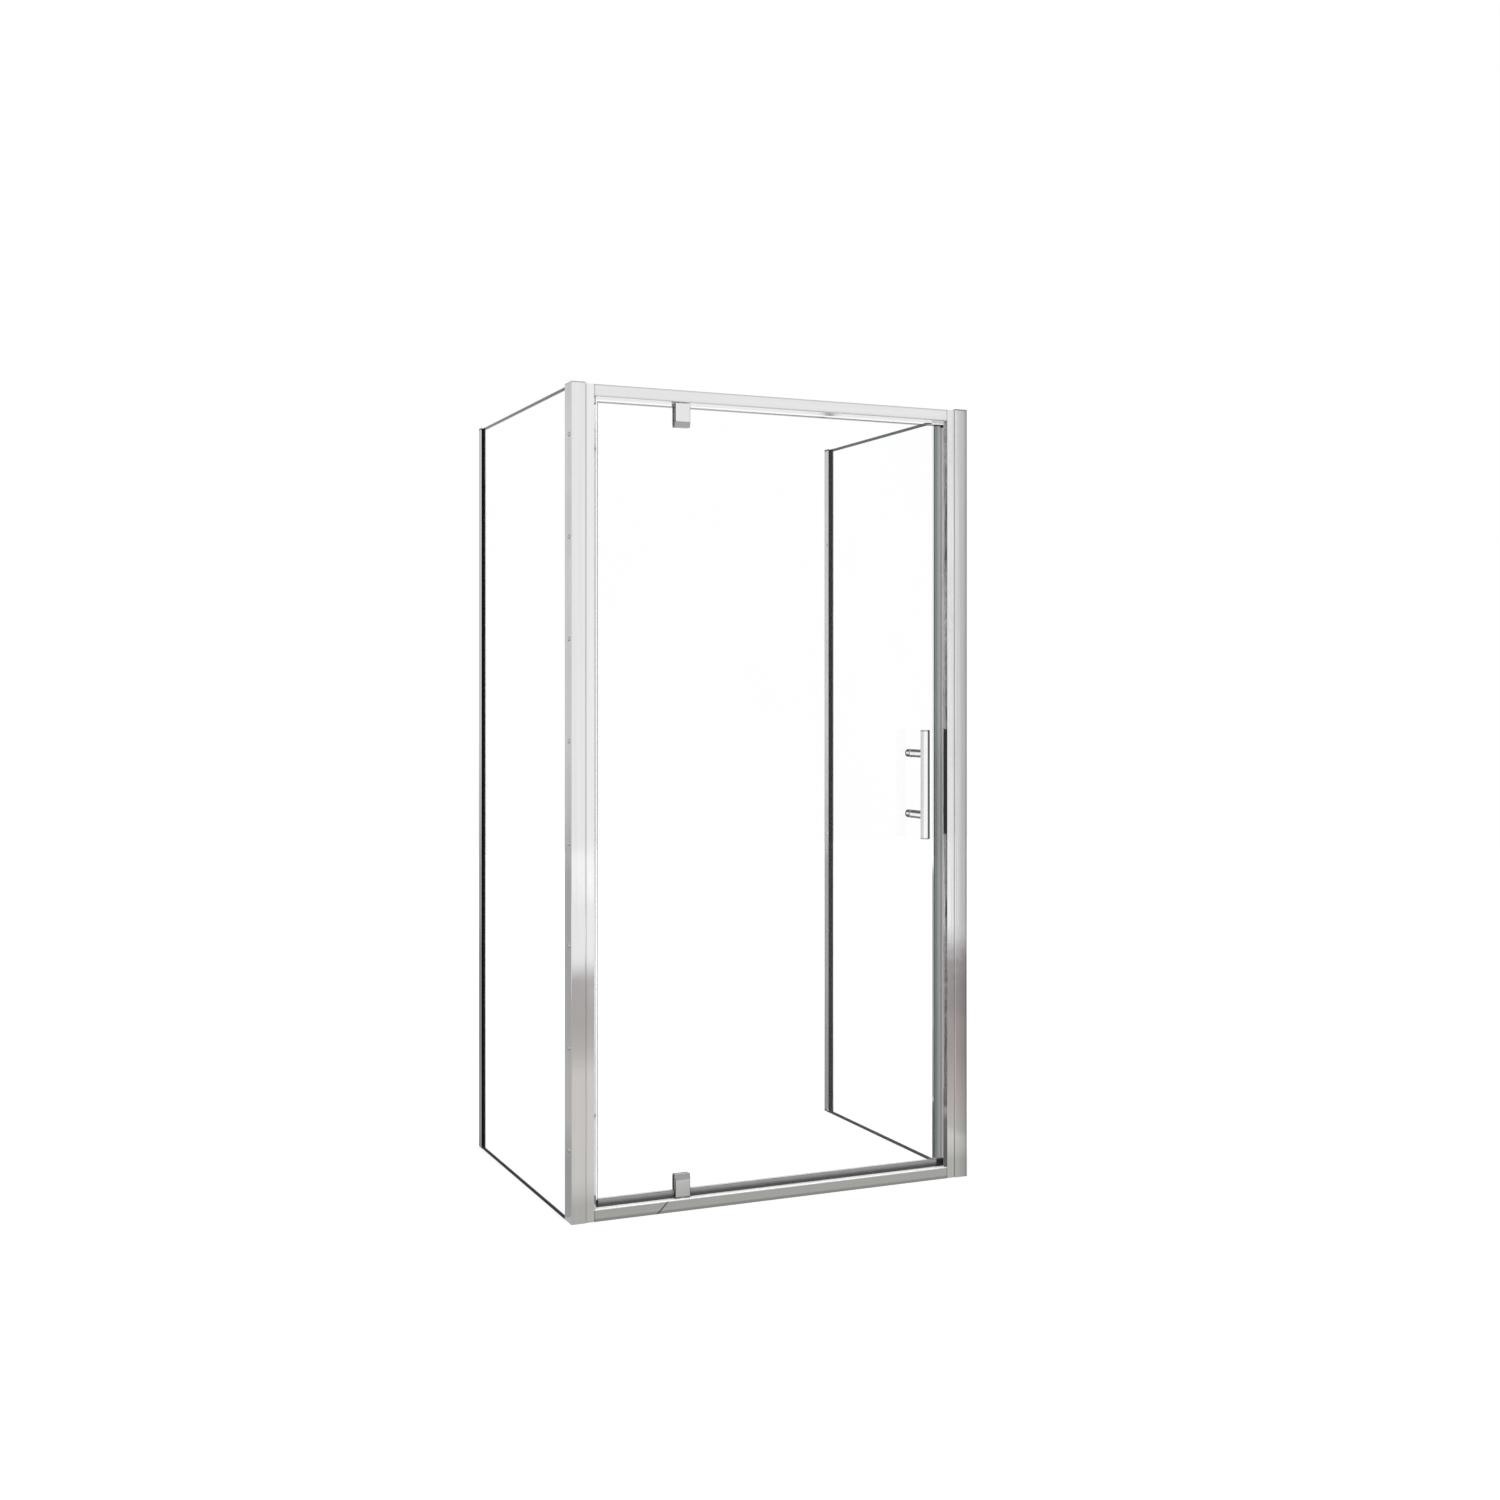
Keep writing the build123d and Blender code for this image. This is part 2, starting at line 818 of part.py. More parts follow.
def block_screw_cone():
    """The countersunk head's outline, pointing down, with its flat top at the origin."""
    depth = block_screw_head_radius - block_screw_radius
    outline = [
        (0, 0),
        (block_screw_head_radius, 0),
        (block_screw_head_radius, -block_screw_head_land),
        (block_screw_radius, -block_screw_head_land - depth),
        (0, -block_screw_head_land - depth),
    ]
    face = Plane.XZ * make_face(Polyline(*outline, close=True))
    return revolve(face, Axis.Z)


def block_inner(bottom, foot_height):
    face_y = half_glass + pad_thickness
    outer_y = face_y + block_plate
    plate = bevelled_plate(
        face_y, outer_y, bottom + foot_height + block_foot_gap / 2, bottom + block_height
    )
    for side in (-1, 1):
        x = pivot_x + side * block_screw_spacing / 2
        height = bottom + block_screw_rise
        plate -= rod_y(block_screw_bore_radius, x, face_y - cut_over, outer_y, height)
        plate -= Pos(x, outer_y, height) * Rot(-90, 0, 0) * block_screw_cone()
    return plate


def upper(piece):
    """Turn a piece from the bottom of the door over for the top."""
    return mirror(piece, about=Plane.XY.offset(frame_top / 2))


def pivot_block_pads():
    """Thin pads on both faces of the glass under each block."""
    half = block_width / 2 - pad_margin
    pads = []
    low_top = rail_height + block_rail_gap + block_height - pad_margin
    high_bottom = rail_top_z - block_rail_gap - block_height + pad_margin
    for z_from, z_to in ((door_bottom_z, low_top), (high_bottom, door_top_z)):
        for y_from in (-half_glass - pad_thickness, half_glass):
            y_to = y_from + pad_thickness
            pad = plan_block(pivot_x - half, pivot_x + half, y_from, y_to, z_from, z_to)
            for x, height in block_screw_places():
                pad -= rod_y(block_screw_bore_radius, x, y_from - cut_over, y_to + cut_over, height)
            pads.append(pad)
    return Compound(pads)


def pivot_block_sleeves():
    """A plastic sleeve in each glass hole, so that no screw touches the glass."""
    sleeves = []
    for x, height in block_screw_places():
        over = half_glass + cut_over
        sleeve = rod_y(sleeve_radius, x, -half_glass, half_glass, height)
        sleeves.append(sleeve - rod_y(sleeve_radius - sleeve_wall, x, -over, over, height))
    return Compound(sleeves)


def pivot_block_screws():
    """Countersunk socket screws from the inner plate into the outer one."""
    head_y = half_glass + pad_thickness + block_plate
    tip_y = -head_y + block_screw_tip_margin + block_screw_tip_margin / 2
    screw = block_screw_cone()
    length = head_y - tip_y
    screw += Pos(0, 0, -length / 2 - block_screw_head_land) * Cylinder(
        block_screw_radius, length - block_screw_head_land
    )
    hexagon = RegularPolygon(block_screw_socket_radius, block_screw_socket_sides)
    socket = extrude(hexagon, -block_screw_socket_depth)
    screw = Rot(-90, 0, 0) * (screw - socket)
    return Compound([Pos(x, head_y, height) * screw for x, height in block_screw_places()])


def pivot_pin(foot_height):
    """The pin under the bottom block, from the top of its foot down into the bush."""
    foot_bottom = rail_height + block_rail_gap
    pin = rod_z(pin_radius, pivot_x, 0, foot_bottom - pin_reach, foot_bottom + foot_height)
    tip = pin.edges().filter_by(GeomType.CIRCLE).sort_by(Axis.Z)[0]
    return chamfer(tip, pin_edge_chamfer)


# Handle: a round bar on two round posts, held by studs from knobs inside
def handle_bar():
    half = handle_bar_length / 2
    bar = rod_z(
        handle_bar_radius,
        handle_x,
        handle_bar_y,
        handle_centre_height - half,
        handle_centre_height + half,
    )
    return fillet(bar.edges().filter_by(GeomType.CIRCLE), handle_bar_edge_radius)


def handle_posts():
    """Posts saddled to the back of the bar and bored for the studs."""
    foot_y = -half_glass - washer_thickness
    saddle = handle_bar_radius + handle_post_clearance
    half = handle_bar_length / 2
    bar_space = rod_z(
        saddle, handle_x, handle_bar_y, handle_centre_height - half, handle_centre_height + half
    )
    posts = []
    for height in handle_heights():
        post = rod_y(handle_post_radius, handle_x, handle_bar_y, foot_y, height) - bar_space
        post = post.solids().sort_by(Axis.Y)[-1]
        bore_y = foot_y - stud_post_depth - cut_over
        posts.append(post - rod_y(stud_bore_radius, handle_x, bore_y, foot_y + cut_over, height))
    return Compound(posts)


def handle_inner_knobs():
    base_y = half_glass + washer_thickness
    knobs = []
    for height in handle_heights():
        knob = rod_y(knob_radius, handle_x, base_y, base_y + knob_length, height)
        rim = knob.edges().filter_by(GeomType.CIRCLE).sort_by(Axis.Y)[-1]
        knob = fillet(rim, knob_edge_radius)
        bore_y = base_y + stud_knob_depth + cut_over
        knobs.append(knob - rod_y(stud_bore_radius, handle_x, base_y - cut_over, bore_y, height))
    return Compound(knobs)


def handle_washers():
    """Plastic washers on both faces of the glass, with collars in its holes."""
    washers = []
    for height in handle_heights():
        for side in (-1, 1):
            face_y = side * half_glass
            outer_y = side * (half_glass + washer_thickness)
            collar_y = side * (half_glass - washer_collar_depth)
            washer = rod_y(knob_radius, handle_x, face_y, outer_y, height)
            washer += rod_y(washer_collar_radius, handle_x, collar_y, face_y, height)
            over = half_glass + washer_thickness + cut_over
            washers.append(washer - rod_y(washer_hole_radius, handle_x, -over, over, height))
    return Compound(washers)


def handle_studs():
    front = -half_glass - washer_thickness - stud_post_depth
    back = half_glass + washer_thickness + stud_knob_depth
    studs = [rod_y(stud_radius, handle_x, front, back, height) for height in handle_heights()]
    return Compound(studs)


# Clear seals that grip the glass edges
side_seal_bottom = door_bottom_z + seal_grip + seal_stack_gap


def edge_grip(edge_x, inward):
    """The clear U that grips an upright glass edge; inward points along X into the glass."""
    outer = half_glass + seal_wall
    seal = plan_block(
        min(edge_x, edge_x + inward * side_seal_grip),
        max(edge_x, edge_x + inward * side_seal_grip),
        -outer,
        outer,
        side_seal_bottom,
        door_top_z,
    )
    seal -= plan_block(
        min(edge_x, edge_x + inward * (side_seal_grip + cut_over)),
        max(edge_x, edge_x + inward * (side_seal_grip + cut_over)),
        -half_glass,
        half_glass,
        side_seal_bottom - cut_over,
        door_top_z + cut_over,
    )
    seal += plan_block(
        min(edge_x, edge_x - inward * seal_wall),
        max(edge_x, edge_x - inward * seal_wall),
        -outer,
        outer,
        side_seal_bottom,
        door_top_z,
    )
    return seal


# The closing side's gap is shared by the door's seal, the meeting gap and the jamb's strip
magnet_room = closing_side_gap - magnet_meeting_gap - seal_wall
magnet_strip_depth = magnet_room * jamb_strip_share
door_magnet_x = -jamb_x - magnet_strip_depth - magnet_meeting_gap


def magnet_box(x_from, x_to, bottom):
    """A clear box that a magnet strip is slid into, and the magnet that fills it."""
    half = magnet_box_width / 2
    box = plan_block(x_from, x_to, -half, half, bottom, door_top_z)
    inner = half - seal_wall
    box -= plan_block(
        x_from + seal_wall,
        x_to - seal_wall,
        -inner,
        inner,
        bottom - cut_over,
        door_top_z + cut_over,
    )
    magnet = plan_block(
        x_from + seal_wall + magnet_clearance,
        x_to - seal_wall - magnet_clearance,
        -inner + magnet_clearance,
        inner - magnet_clearance,
        bottom,
        door_top_z,
    )
    return box, magnet


def closing_seals():
    """Door seal, its magnet, the jamb's strip and its magnet."""
    door_box, door_magnet = magnet_box(door_right_x + seal_wall, door_magnet_x, side_seal_bottom)
    door_seal = edge_grip(door_right_x, -1) + door_box
    strip_x = -jamb_x - magnet_strip_depth
    jamb_box, jamb_magnet = magnet_box(strip_x, -jamb_x, side_seal_bottom)
    half = strip_flange_width / 2
    jamb_strip = jamb_box + plan_block(
        -jamb_x - seal_wall, -jamb_x, -half, half, side_seal_bottom, door_top_z
    )
    return door_seal, door_magnet, jamb_strip, jamb_magnet


def hinge_edge_seal():
    """Edge grip with a hollow bulb towards the hinge-side jamb."""
    seal = edge_grip(door_left_x, 1)
    bulb_x = door_left_x - seal_wall - bulb_radius + bulb_wall / 2
    seal += rod_z(bulb_radius, bulb_x, 0, side_seal_bottom, door_top_z)
    hollow = bulb_radius - bulb_wall
    return seal - rod_z(hollow, bulb_x, 0, side_seal_bottom - cut_over, door_top_z + cut_over)


def bottom_seal(x_from, x_to):
    """Grip on the glass, hollow body, wiper over the threshold and drip fin inside."""
    outer = half_glass + seal_wall
    edge = door_bottom_z
    web_z = edge - bottom_web
    body_z = web_z - bottom_body_height
    blade_z = rail_height + wiper_threshold_gap
    fin_y = outer + drip_fin_reach
    fin_z = web_z - drip_fin_drop
    half_blade = wiper_thickness / 2
    outline = [
        (-outer, edge + seal_grip),
        (-outer, web_z),
        (-outer + bottom_body_taper, body_z),
        (-half_blade, body_z),
        (-half_blade, blade_z),
        (half_blade, blade_z),
        (half_blade, body_z),
        (outer - bottom_body_taper, body_z),
        (outer, web_z - drip_fin_thickness),
        (fin_y, fin_z - drip_fin_thickness),
        (fin_y, fin_z),
        (outer, web_z),
        (outer, edge + seal_grip),
        (half_glass, edge + seal_grip),
        (half_glass, edge),
        (-half_glass, edge),
        (-half_glass, edge + seal_grip),
    ]
    wall = bottom_body_wall
    hollow = [
        (-outer + wall, web_z - wall / 2),
        (-outer + bottom_body_taper + wall, body_z + wall),
        (outer - bottom_body_taper - wall, body_z + wall),
        (outer - wall, web_z - wall / 2),
    ]
    plane = Plane((x_from, 0, 0), x_dir=(0, 1, 0), z_dir=(1, 0, 0))
    section = make_face(Polyline(*outline, close=True)) - make_face(Polyline(*hollow, close=True))
    return extrude(plane * section, x_to - x_from)


# Every piece under its own name
bottom_foot = door_threshold_gap - block_rail_gap - block_foot_gap
top_foot = door_head_gap - block_rail_gap - block_foot_gap
block_bottom_z = rail_height + block_rail_gap
block_half = block_width / 2 + bottom_seal_block_gap
door_seal, door_magnet, jamb_strip, jamb_magnet = closing_seals()
sill_left, sill_right = sill_lengths()
left_plugs = jamb_plugs()

handed = {
    "wall_channel": wall_channel(),
    "wall_gasket": wall_gasket(),
    "wall_clamp_screws": wall_clamp_screws(),
    "side_glass": side_glass(),
    "side_floor_seal": side_floor_seal(),
    "side_profile": side_profile(),
    "side_gasket": side_gasket(),
    "corner_post": corner_post(),
    "post_cap": post_cap(),
    "post_side_screws": post_side_screws(),
    "post_side_caps": post_side_caps(),
}
left_jamb = jamb()

pieces = {
    "hinge_jamb": left_jamb,
    "closing_jamb": to_right(left_jamb),
    "jamb_top_plugs": Compound(left_plugs + [to_right(plug) for plug in left_plugs]),
    "top_rail": top_rail(),
    "sill_left_length": sill_left,
    "sill_right_length": sill_right,
    "sill_joiner": sill_joiner(),
    "corner_screws_top": corner_screws(frame_top - rail_height / 2),
    "corner_screws_bottom": corner_screws(rail_height / 2),
    "jamb_magnet_strip": jamb_strip,
    "jamb_magnet": jamb_magnet,
    "top_pivot_bush": upper(pivot_bush()),
    "bottom_pivot_bush": pivot_bush(),
    "door_glass": door_glass(),
    "top_block_outer": upper(block_outer(block_bottom_z, top_foot)),
    "top_block_inner": upper(block_inner(block_bottom_z, top_foot)),
    "bottom_block_outer": block_outer(block_bottom_z, bottom_foot),
    "bottom_block_inner": block_inner(block_bottom_z, bottom_foot),
    "pivot_block_pads": pivot_block_pads(),
    "pivot_block_sleeves": pivot_block_sleeves(),
    "pivot_block_screws": pivot_block_screws(),
    "top_pivot_pin": upper(pivot_pin(top_foot)),
    "bottom_pivot_pin": pivot_pin(bottom_foot),
    "handle_bar": handle_bar(),
    "handle_posts": handle_posts(),
    "handle_inner_knobs": handle_inner_knobs(),
    "handle_washers": handle_washers(),
    "handle_studs": handle_studs(),
    "door_magnet_seal": door_seal,
    "door_magnet": door_magnet,
    "door_hinge_edge_seal": hinge_edge_seal(),
    "bottom_seal_short": bottom_seal(door_left_x, pivot_x - block_half),
    "bottom_seal_long": bottom_seal(pivot_x + block_half, door_right_x),
}
for name, piece in handed.items():
    pieces[name + "_left"] = piece
    pieces[name + "_right"] = to_right(piece)

os.makedirs("parts", exist_ok=True)
for name, piece in pieces.items():
    export_step(piece, "parts/" + name + ".step")
print(len(pieces), "pieces, overall height", overall_height)
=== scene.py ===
import math

import bmesh
import bpy
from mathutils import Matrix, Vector


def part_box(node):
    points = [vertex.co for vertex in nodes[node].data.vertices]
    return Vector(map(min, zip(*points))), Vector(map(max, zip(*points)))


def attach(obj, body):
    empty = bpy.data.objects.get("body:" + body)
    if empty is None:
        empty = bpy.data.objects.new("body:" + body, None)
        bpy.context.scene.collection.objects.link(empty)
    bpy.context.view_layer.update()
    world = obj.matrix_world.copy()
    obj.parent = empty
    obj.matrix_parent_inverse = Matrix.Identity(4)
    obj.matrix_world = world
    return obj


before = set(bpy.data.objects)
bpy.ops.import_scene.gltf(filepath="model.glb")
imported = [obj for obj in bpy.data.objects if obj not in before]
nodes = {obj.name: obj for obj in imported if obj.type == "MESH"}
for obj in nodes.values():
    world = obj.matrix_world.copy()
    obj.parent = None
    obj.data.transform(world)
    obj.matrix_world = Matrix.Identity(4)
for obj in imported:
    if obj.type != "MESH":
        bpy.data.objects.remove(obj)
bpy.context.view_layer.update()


# Wall channels: two slim U sections of bright polished aluminium, screwed to the wall behind each side.
# The die leaves faint lines up their length, and hard water leaves a thin film that dulls them in patches.
SIDES = ("left", "right")
UPRIGHT = (1.0, 1.0, 0.012)
VECTOR, NUMBER = "NodeSocketVector", "NodeSocketFloat"
channel_tone = 0.80
channel_die_lines = 260.0
channel_low, channel_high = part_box("wall_channel_left")


def shared_effect(name, inputs, outputs):
    """An empty shader node group with named inputs and outputs, and its two end nodes."""
    tree = bpy.data.node_groups.new(name, "ShaderNodeTree")
    for label, kind in inputs:
        tree.interface.new_socket(label, in_out="INPUT", socket_type=kind)
    for label, kind in outputs:
        tree.interface.new_socket(label, in_out="OUTPUT", socket_type=kind)
    return tree, tree.nodes.new("NodeGroupInput"), tree.nodes.new("NodeGroupOutput")


def add_node(tree, kind, settings=None, **values):
    """A node with its settings and the values of its named sockets, where _ stands for a space."""
    node = tree.nodes.new("ShaderNode" + kind)
    for key, value in (settings or {}).items():
        setattr(node, key, value)
    for key, value in values.items():
        node.inputs[key.replace("_", " ")].default_value = value
    return node


def span(tree, source, low, high, at_low=0.0, at_high=1.0):
    """A number that goes from at_low to at_high as the source goes from low to high, and no further."""
    ends = {"From_Min": low, "From_Max": high, "To_Min": at_low, "To_Max": at_high}
    node = add_node(tree, "MapRange", {"clamp": True}, **ends)
    tree.links.new(source, node.inputs["Value"])
    return node.outputs["Result"]


def calculate(tree, operation, *values):
    """The result of one sum on outputs or numbers."""
    node = add_node(tree, "Math", {"operation": operation})
    for value, socket in zip(values, node.inputs):
        if isinstance(value, float):
            socket.default_value = value
        else:
            tree.links.new(value, socket)
    return node.outputs[0]


def drawn_lines_effect():
    """Lines left by an extrusion die or a polishing wheel: noise drawn out along one direction."""
    faint, strong = 0.25, 0.75
    tree, start, end = shared_effect(
        "drawn_lines",
        [("Place", VECTOR), ("Stretch", VECTOR), ("Lines per metre", NUMBER)],
        [("Lines", NUMBER)],
    )
    drawn = add_node(tree, "VectorMath", {"operation": "MULTIPLY"})
    grain = add_node(tree, "TexNoise", Detail=4.0, Roughness=0.65)
    tree.links.new(start.outputs["Place"], drawn.inputs[0])
    tree.links.new(start.outputs["Stretch"], drawn.inputs[1])
    tree.links.new(drawn.outputs[0], grain.inputs["Vector"])
    tree.links.new(start.outputs["Lines per metre"], grain.inputs["Scale"])
    tree.links.new(span(tree, grain.outputs["Fac"], faint, strong), end.inputs["Lines"])
    return tree


def water_film_effect():
    """Patches of dried water film, broken up by fine spots."""
    patch_start, patch_full = 0.42, 0.68
    spot_start, spot_full = 0.3, 0.65
    film_between_spots = 0.35
    spots_per_patch = 14.0
    tree, start, end = shared_effect(
        "water_film",
        [("Place", VECTOR), ("Patches per metre", NUMBER)],
        [("Film", NUMBER)],
    )
    per_metre = start.outputs["Patches per metre"]
    patches = add_node(tree, "TexNoise", Detail=3.0, Roughness=0.55)
    spots = add_node(tree, "TexNoise", Detail=2.0, Roughness=0.5)
    tree.links.new(start.outputs["Place"], patches.inputs["Vector"])
    tree.links.new(start.outputs["Place"], spots.inputs["Vector"])
    tree.links.new(per_metre, patches.inputs["Scale"])
    tree.links.new(calculate(tree, "MULTIPLY", per_metre, spots_per_patch), spots.inputs["Scale"])
    patchy = span(tree, patches.outputs["Fac"], patch_start, patch_full)
    spotty = span(tree, spots.outputs["Fac"], spot_start, spot_full, film_between_spots)
    tree.links.new(calculate(tree, "MULTIPLY", patchy, spotty), end.inputs["Film"])
    return tree


drawn_lines = drawn_lines_effect()
water_film = water_film_effect()


def start_material(name):
    """A material with its shader, and the place of each point on the piece in metres."""
    material = bpy.data.materials.new(name)
    material.use_nodes = True
    tree = material.node_tree
    return material, tree, tree.nodes["Principled BSDF"], add_node(tree, "TexCoord")


def effect(tree, group, place, **values):
    """A shared effect placed in a material with that material's own values."""
    node = add_node(tree, "Group", {"node_tree": group}, **values)
    tree.links.new(place.outputs["Object"], node.inputs["Place"])
    return node.outputs[0]


def raised(tree, shader, height, depth, strength=1.0):
    """A bump of that depth in metres, fed by height, on the shader's normal."""
    bump = add_node(tree, "Bump", Strength=strength, Distance=depth)
    tree.links.new(height, bump.inputs["Height"])
    tree.links.new(bump.outputs["Normal"], shader.inputs["Normal"])


def blend(tree, mask, first, second):
    """first where the mask is 0 and second where it is 1. Each is a colour, a number or an output."""
    ends = (first, second)
    is_colour = any(isinstance(end, tuple) or getattr(end, "type", "") == "RGBA" for end in ends)
    mix = add_node(tree, "Mix", {"data_type": "RGBA" if is_colour else "FLOAT"})
    factor, *sockets = [socket for socket in mix.inputs if socket.enabled]
    tree.links.new(mask, factor)
    for end, socket in zip(ends, sockets):
        if isinstance(end, tuple):
            socket.default_value = (*end, 1.0)
        elif isinstance(end, float):
            socket.default_value = end
        else:
            tree.links.new(end, socket)
    return [socket for socket in mix.outputs if socket.enabled][0]


def shade(tree, mask, first, second, socket):
    """A colour or number between first and second by the mask, led to the socket."""
    tree.links.new(blend(tree, mask, first, second), socket)


def vary(tree, mask, at_zero, at_one, socket):
    """A number from at_zero to at_one by the mask, led to the socket."""
    tree.links.new(span(tree, mask, 0.0, 1.0, at_zero, at_one), socket)


def coordinate(tree, place, axis, of="Object"):
    """The X, Y or Z of each point on the piece in metres, or of its Normal."""
    parts = add_node(tree, "SeparateXYZ")
    tree.links.new(place.outputs[of], parts.inputs["Vector"])
    return parts.outputs[axis]


def along(tree, place, axis, start, full):
    """A mask by place on the piece: 0 at start and 1 at full, in metres along one axis."""
    return span(tree, coordinate(tree, place, axis), start, full)


def band(axis, start, full):
    """The mask that along makes, for retone to make when it needs it."""
    return lambda tree, place: along(tree, place, axis, start, full)


def retone(material, mask_of, factor):
    """The colour is multiplied by factor where the mask is 1. mask_of makes the mask from tree and place."""
    tree = material.node_tree
    base = tree.nodes["Principled BSDF"].inputs["Base Color"]
    plain = base.links[0].from_socket
    scaled = add_node(tree, "VectorMath", {"operation": "SCALE"}, Scale=factor)
    tree.links.new(plain, scaled.inputs[0])
    mask = mask_of(tree, tree.nodes["Texture Coordinate"])
    tree.links.new(blend(tree, mask, plain, scaled.outputs[0]), base)
    return mask


def grey(tone):
    """A neutral colour of that tone."""
    return (tone, tone, tone)


def polished_section(name, stretch, tone, lines):
    """Bright polished aluminium with die lines along its length and a patchy water film."""
    in_line, between_lines = 0.955, 1.03
    line_depth = 0.00002
    clean_rough, filmed_rough = 0.045, 0.13
    material, tree, shader, place = start_material(name)
    shader.inputs["Metallic"].default_value = 1.0
    die = effect(tree, drawn_lines, place, Stretch=stretch, Lines_per_metre=lines)
    film = effect(tree, water_film, place, Patches_per_metre=5.0)
    shade(tree, die, grey(tone * in_line), grey(tone * between_lines), shader.inputs["Base Color"])
    vary(tree, film, clean_rough, filmed_rough, shader.inputs["Roughness"])
    raised(tree, shader, die, line_depth)
    return material


def wear(material, *names):
    """The CAD nodes of these names take the material in every slot."""
    for name in names:
        slots = nodes[name].material_slots
        if not slots:
            nodes[name].data.materials.append(material)
        for slot in slots:
            slot.material = material


def sawn_and_shaded_ends(tree, place):
    """The sawn top and bottom of a wall channel, where the cut edge shows, painted dark as the shade in its
    bore.
    """
    top = channel_high.z
    cut_start, cut_full = 0.006, 0.003
    foot_cut_start, foot_cut_full = 0.007, 0.004
    upper = along(tree, place, "Z", top - cut_start, top - cut_full)
    lower = along(tree, place, "Z", foot_cut_start, foot_cut_full)
    return calculate(tree, "MAXIMUM", upper, lower)


# Painted reflection: each channel is painted darker in two steps towards its foot, for the darker floor it
# mirrors, the left one more than the right.
upper_shade_start, upper_shade_full = 1.10, 0.75
lower_shade_start, lower_shade_full = 0.60, 0.51
sawn_shade_factor = 0.12
for side, upper_shade_factor, lower_shade_factor in (("left", 0.80, 0.62), ("right", 1.0, 0.92)):
    channel_chrome = polished_section("polished_channel_" + side, UPRIGHT, channel_tone, channel_die_lines)
    retone(channel_chrome, band("Z", upper_shade_start, upper_shade_full), upper_shade_factor)
    retone(channel_chrome, band("Z", lower_shade_start, lower_shade_full), lower_shade_factor)
    retone(channel_chrome, sawn_and_shaded_ends, sawn_shade_factor)
    wear(channel_chrome, "wall_channel_" + side)


# Gaskets round the glass in the wall channels: soft black rubber pushed in dry between glass and metal.
# The surface is matt, with a fine moulded grain and a paler bloom where it has been handled.
def speckle(tree, place, per_metre, detail):
    """Fine noise over the piece, with about so many grains to the metre."""
    grains = add_node(tree, "TexNoise", Scale=per_metre, Detail=detail)
    tree.links.new(place.outputs["Object"], grains.inputs["Vector"])
    return grains.outputs["Fac"]


def moulded(tree, shader, grain, smooth, rough, depth, strength):
    """A moulded skin: a roughness from smooth to rough that follows the grain, and a bump of that depth."""
    hollow, crest = 0.3, 0.7
    tree.links.new(span(tree, grain, hollow, crest, smooth, rough), shader.inputs["Roughness"])
    raised(tree, shader, grain, depth, strength)


def black_rubber(name, tone):
    """Matt black rubber with a fine grain and a faint bloom."""
    bloom_gain = 1.8
    material, tree, shader, place = start_material(name)
    shader.inputs["Specular IOR Level"].default_value = 0.15
    bloom = effect(tree, water_film, place, Patches_per_metre=9.0)
    shade(tree, bloom, grey(tone), grey(tone * bloom_gain), shader.inputs["Base Color"])
    grain = speckle(tree, place, per_metre=2600.0, detail=2.0)
    moulded(tree, shader, grain, smooth=0.5, rough=0.68, depth=0.00005, strength=0.6)
    return material


def both_sides(name):
    """The names of a piece that comes as a left and a right one."""
    return [name + "_" + side for side in SIDES]


gasket_rubber = black_rubber("gasket_rubber", tone=0.008)
wear(gasket_rubber, *both_sides("wall_gasket"))


# Clamp screws: six small pan-head screws in the inner wall of each channel, which hold the glass gasket.
# They are turned steel, chrome plated, with a spun finish round the head.
def spun_metal(name, tone, rough, film_gain=0.08):
    """Plated or turned metal with fine marks and a light water film."""
    in_mark, between_marks = 0.94, 1.03
    mark_depth = 0.00001
    material, tree, shader, place = start_material(name)
    shader.inputs["Metallic"].default_value = 1.0
    marks = effect(tree, drawn_lines, place, Stretch=(1.0, 1.0, 0.35), Lines_per_metre=900.0)
    film = effect(tree, water_film, place, Patches_per_metre=22.0)
    shade(tree, marks, grey(tone * in_mark), grey(tone * between_marks), shader.inputs["Base Color"])
    vary(tree, film, rough, rough + film_gain, shader.inputs["Roughness"])
    raised(tree, shader, marks, mark_depth)
    return material


wear(spun_metal("plated_screw", tone=0.62, rough=0.14), *both_sides("wall_clamp_screws"))


# Side glass: two fixed panes of 6 mm clear toughened glass, one each side.
# The faces are almost colourless, and the ground edges look dark green, as thick glass does end on.
# Where a pane goes into its wall channel, the black gasket behind it is painted on its colour as a dark
# margin, and the pane hardly reflects there.
edge_green = (0.012, 0.03, 0.024)
face_clear = (0.995, 0.999, 0.997)
face_filmed = (0.988, 0.992, 0.990)
painted_margin_black = (0.0004, 0.0004, 0.0004)
# Painted shade: a dark line is painted on the panes just below their top, for the top edge seen through the
# glass.
side_line_tone = (0.03, 0.035, 0.033)
side_line_height = 0.008
pane_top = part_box("side_glass_left")[1].z


def facing(tree, place, axis, start, full, either_way=False):
    """A mask by the direction that a face of the piece looks in: 0 at start and 1 at full, along one axis."""
    share = coordinate(tree, place, axis, of="Normal")
    if either_way:
        share = calculate(tree, "ABSOLUTE", share)
    return span(tree, share, start, full)


def ground_edges(tree, place, face, dark_axes):
    """The colour of a face, and green on the ground edges that look along dark_axes."""
    edge_start, edge_full = 0.3, 0.9
    for axis in dark_axes:
        on_edge = facing(tree, place, axis, edge_start, edge_full, either_way=True)
        face = blend(tree, on_edge, face, edge_green)
    return face


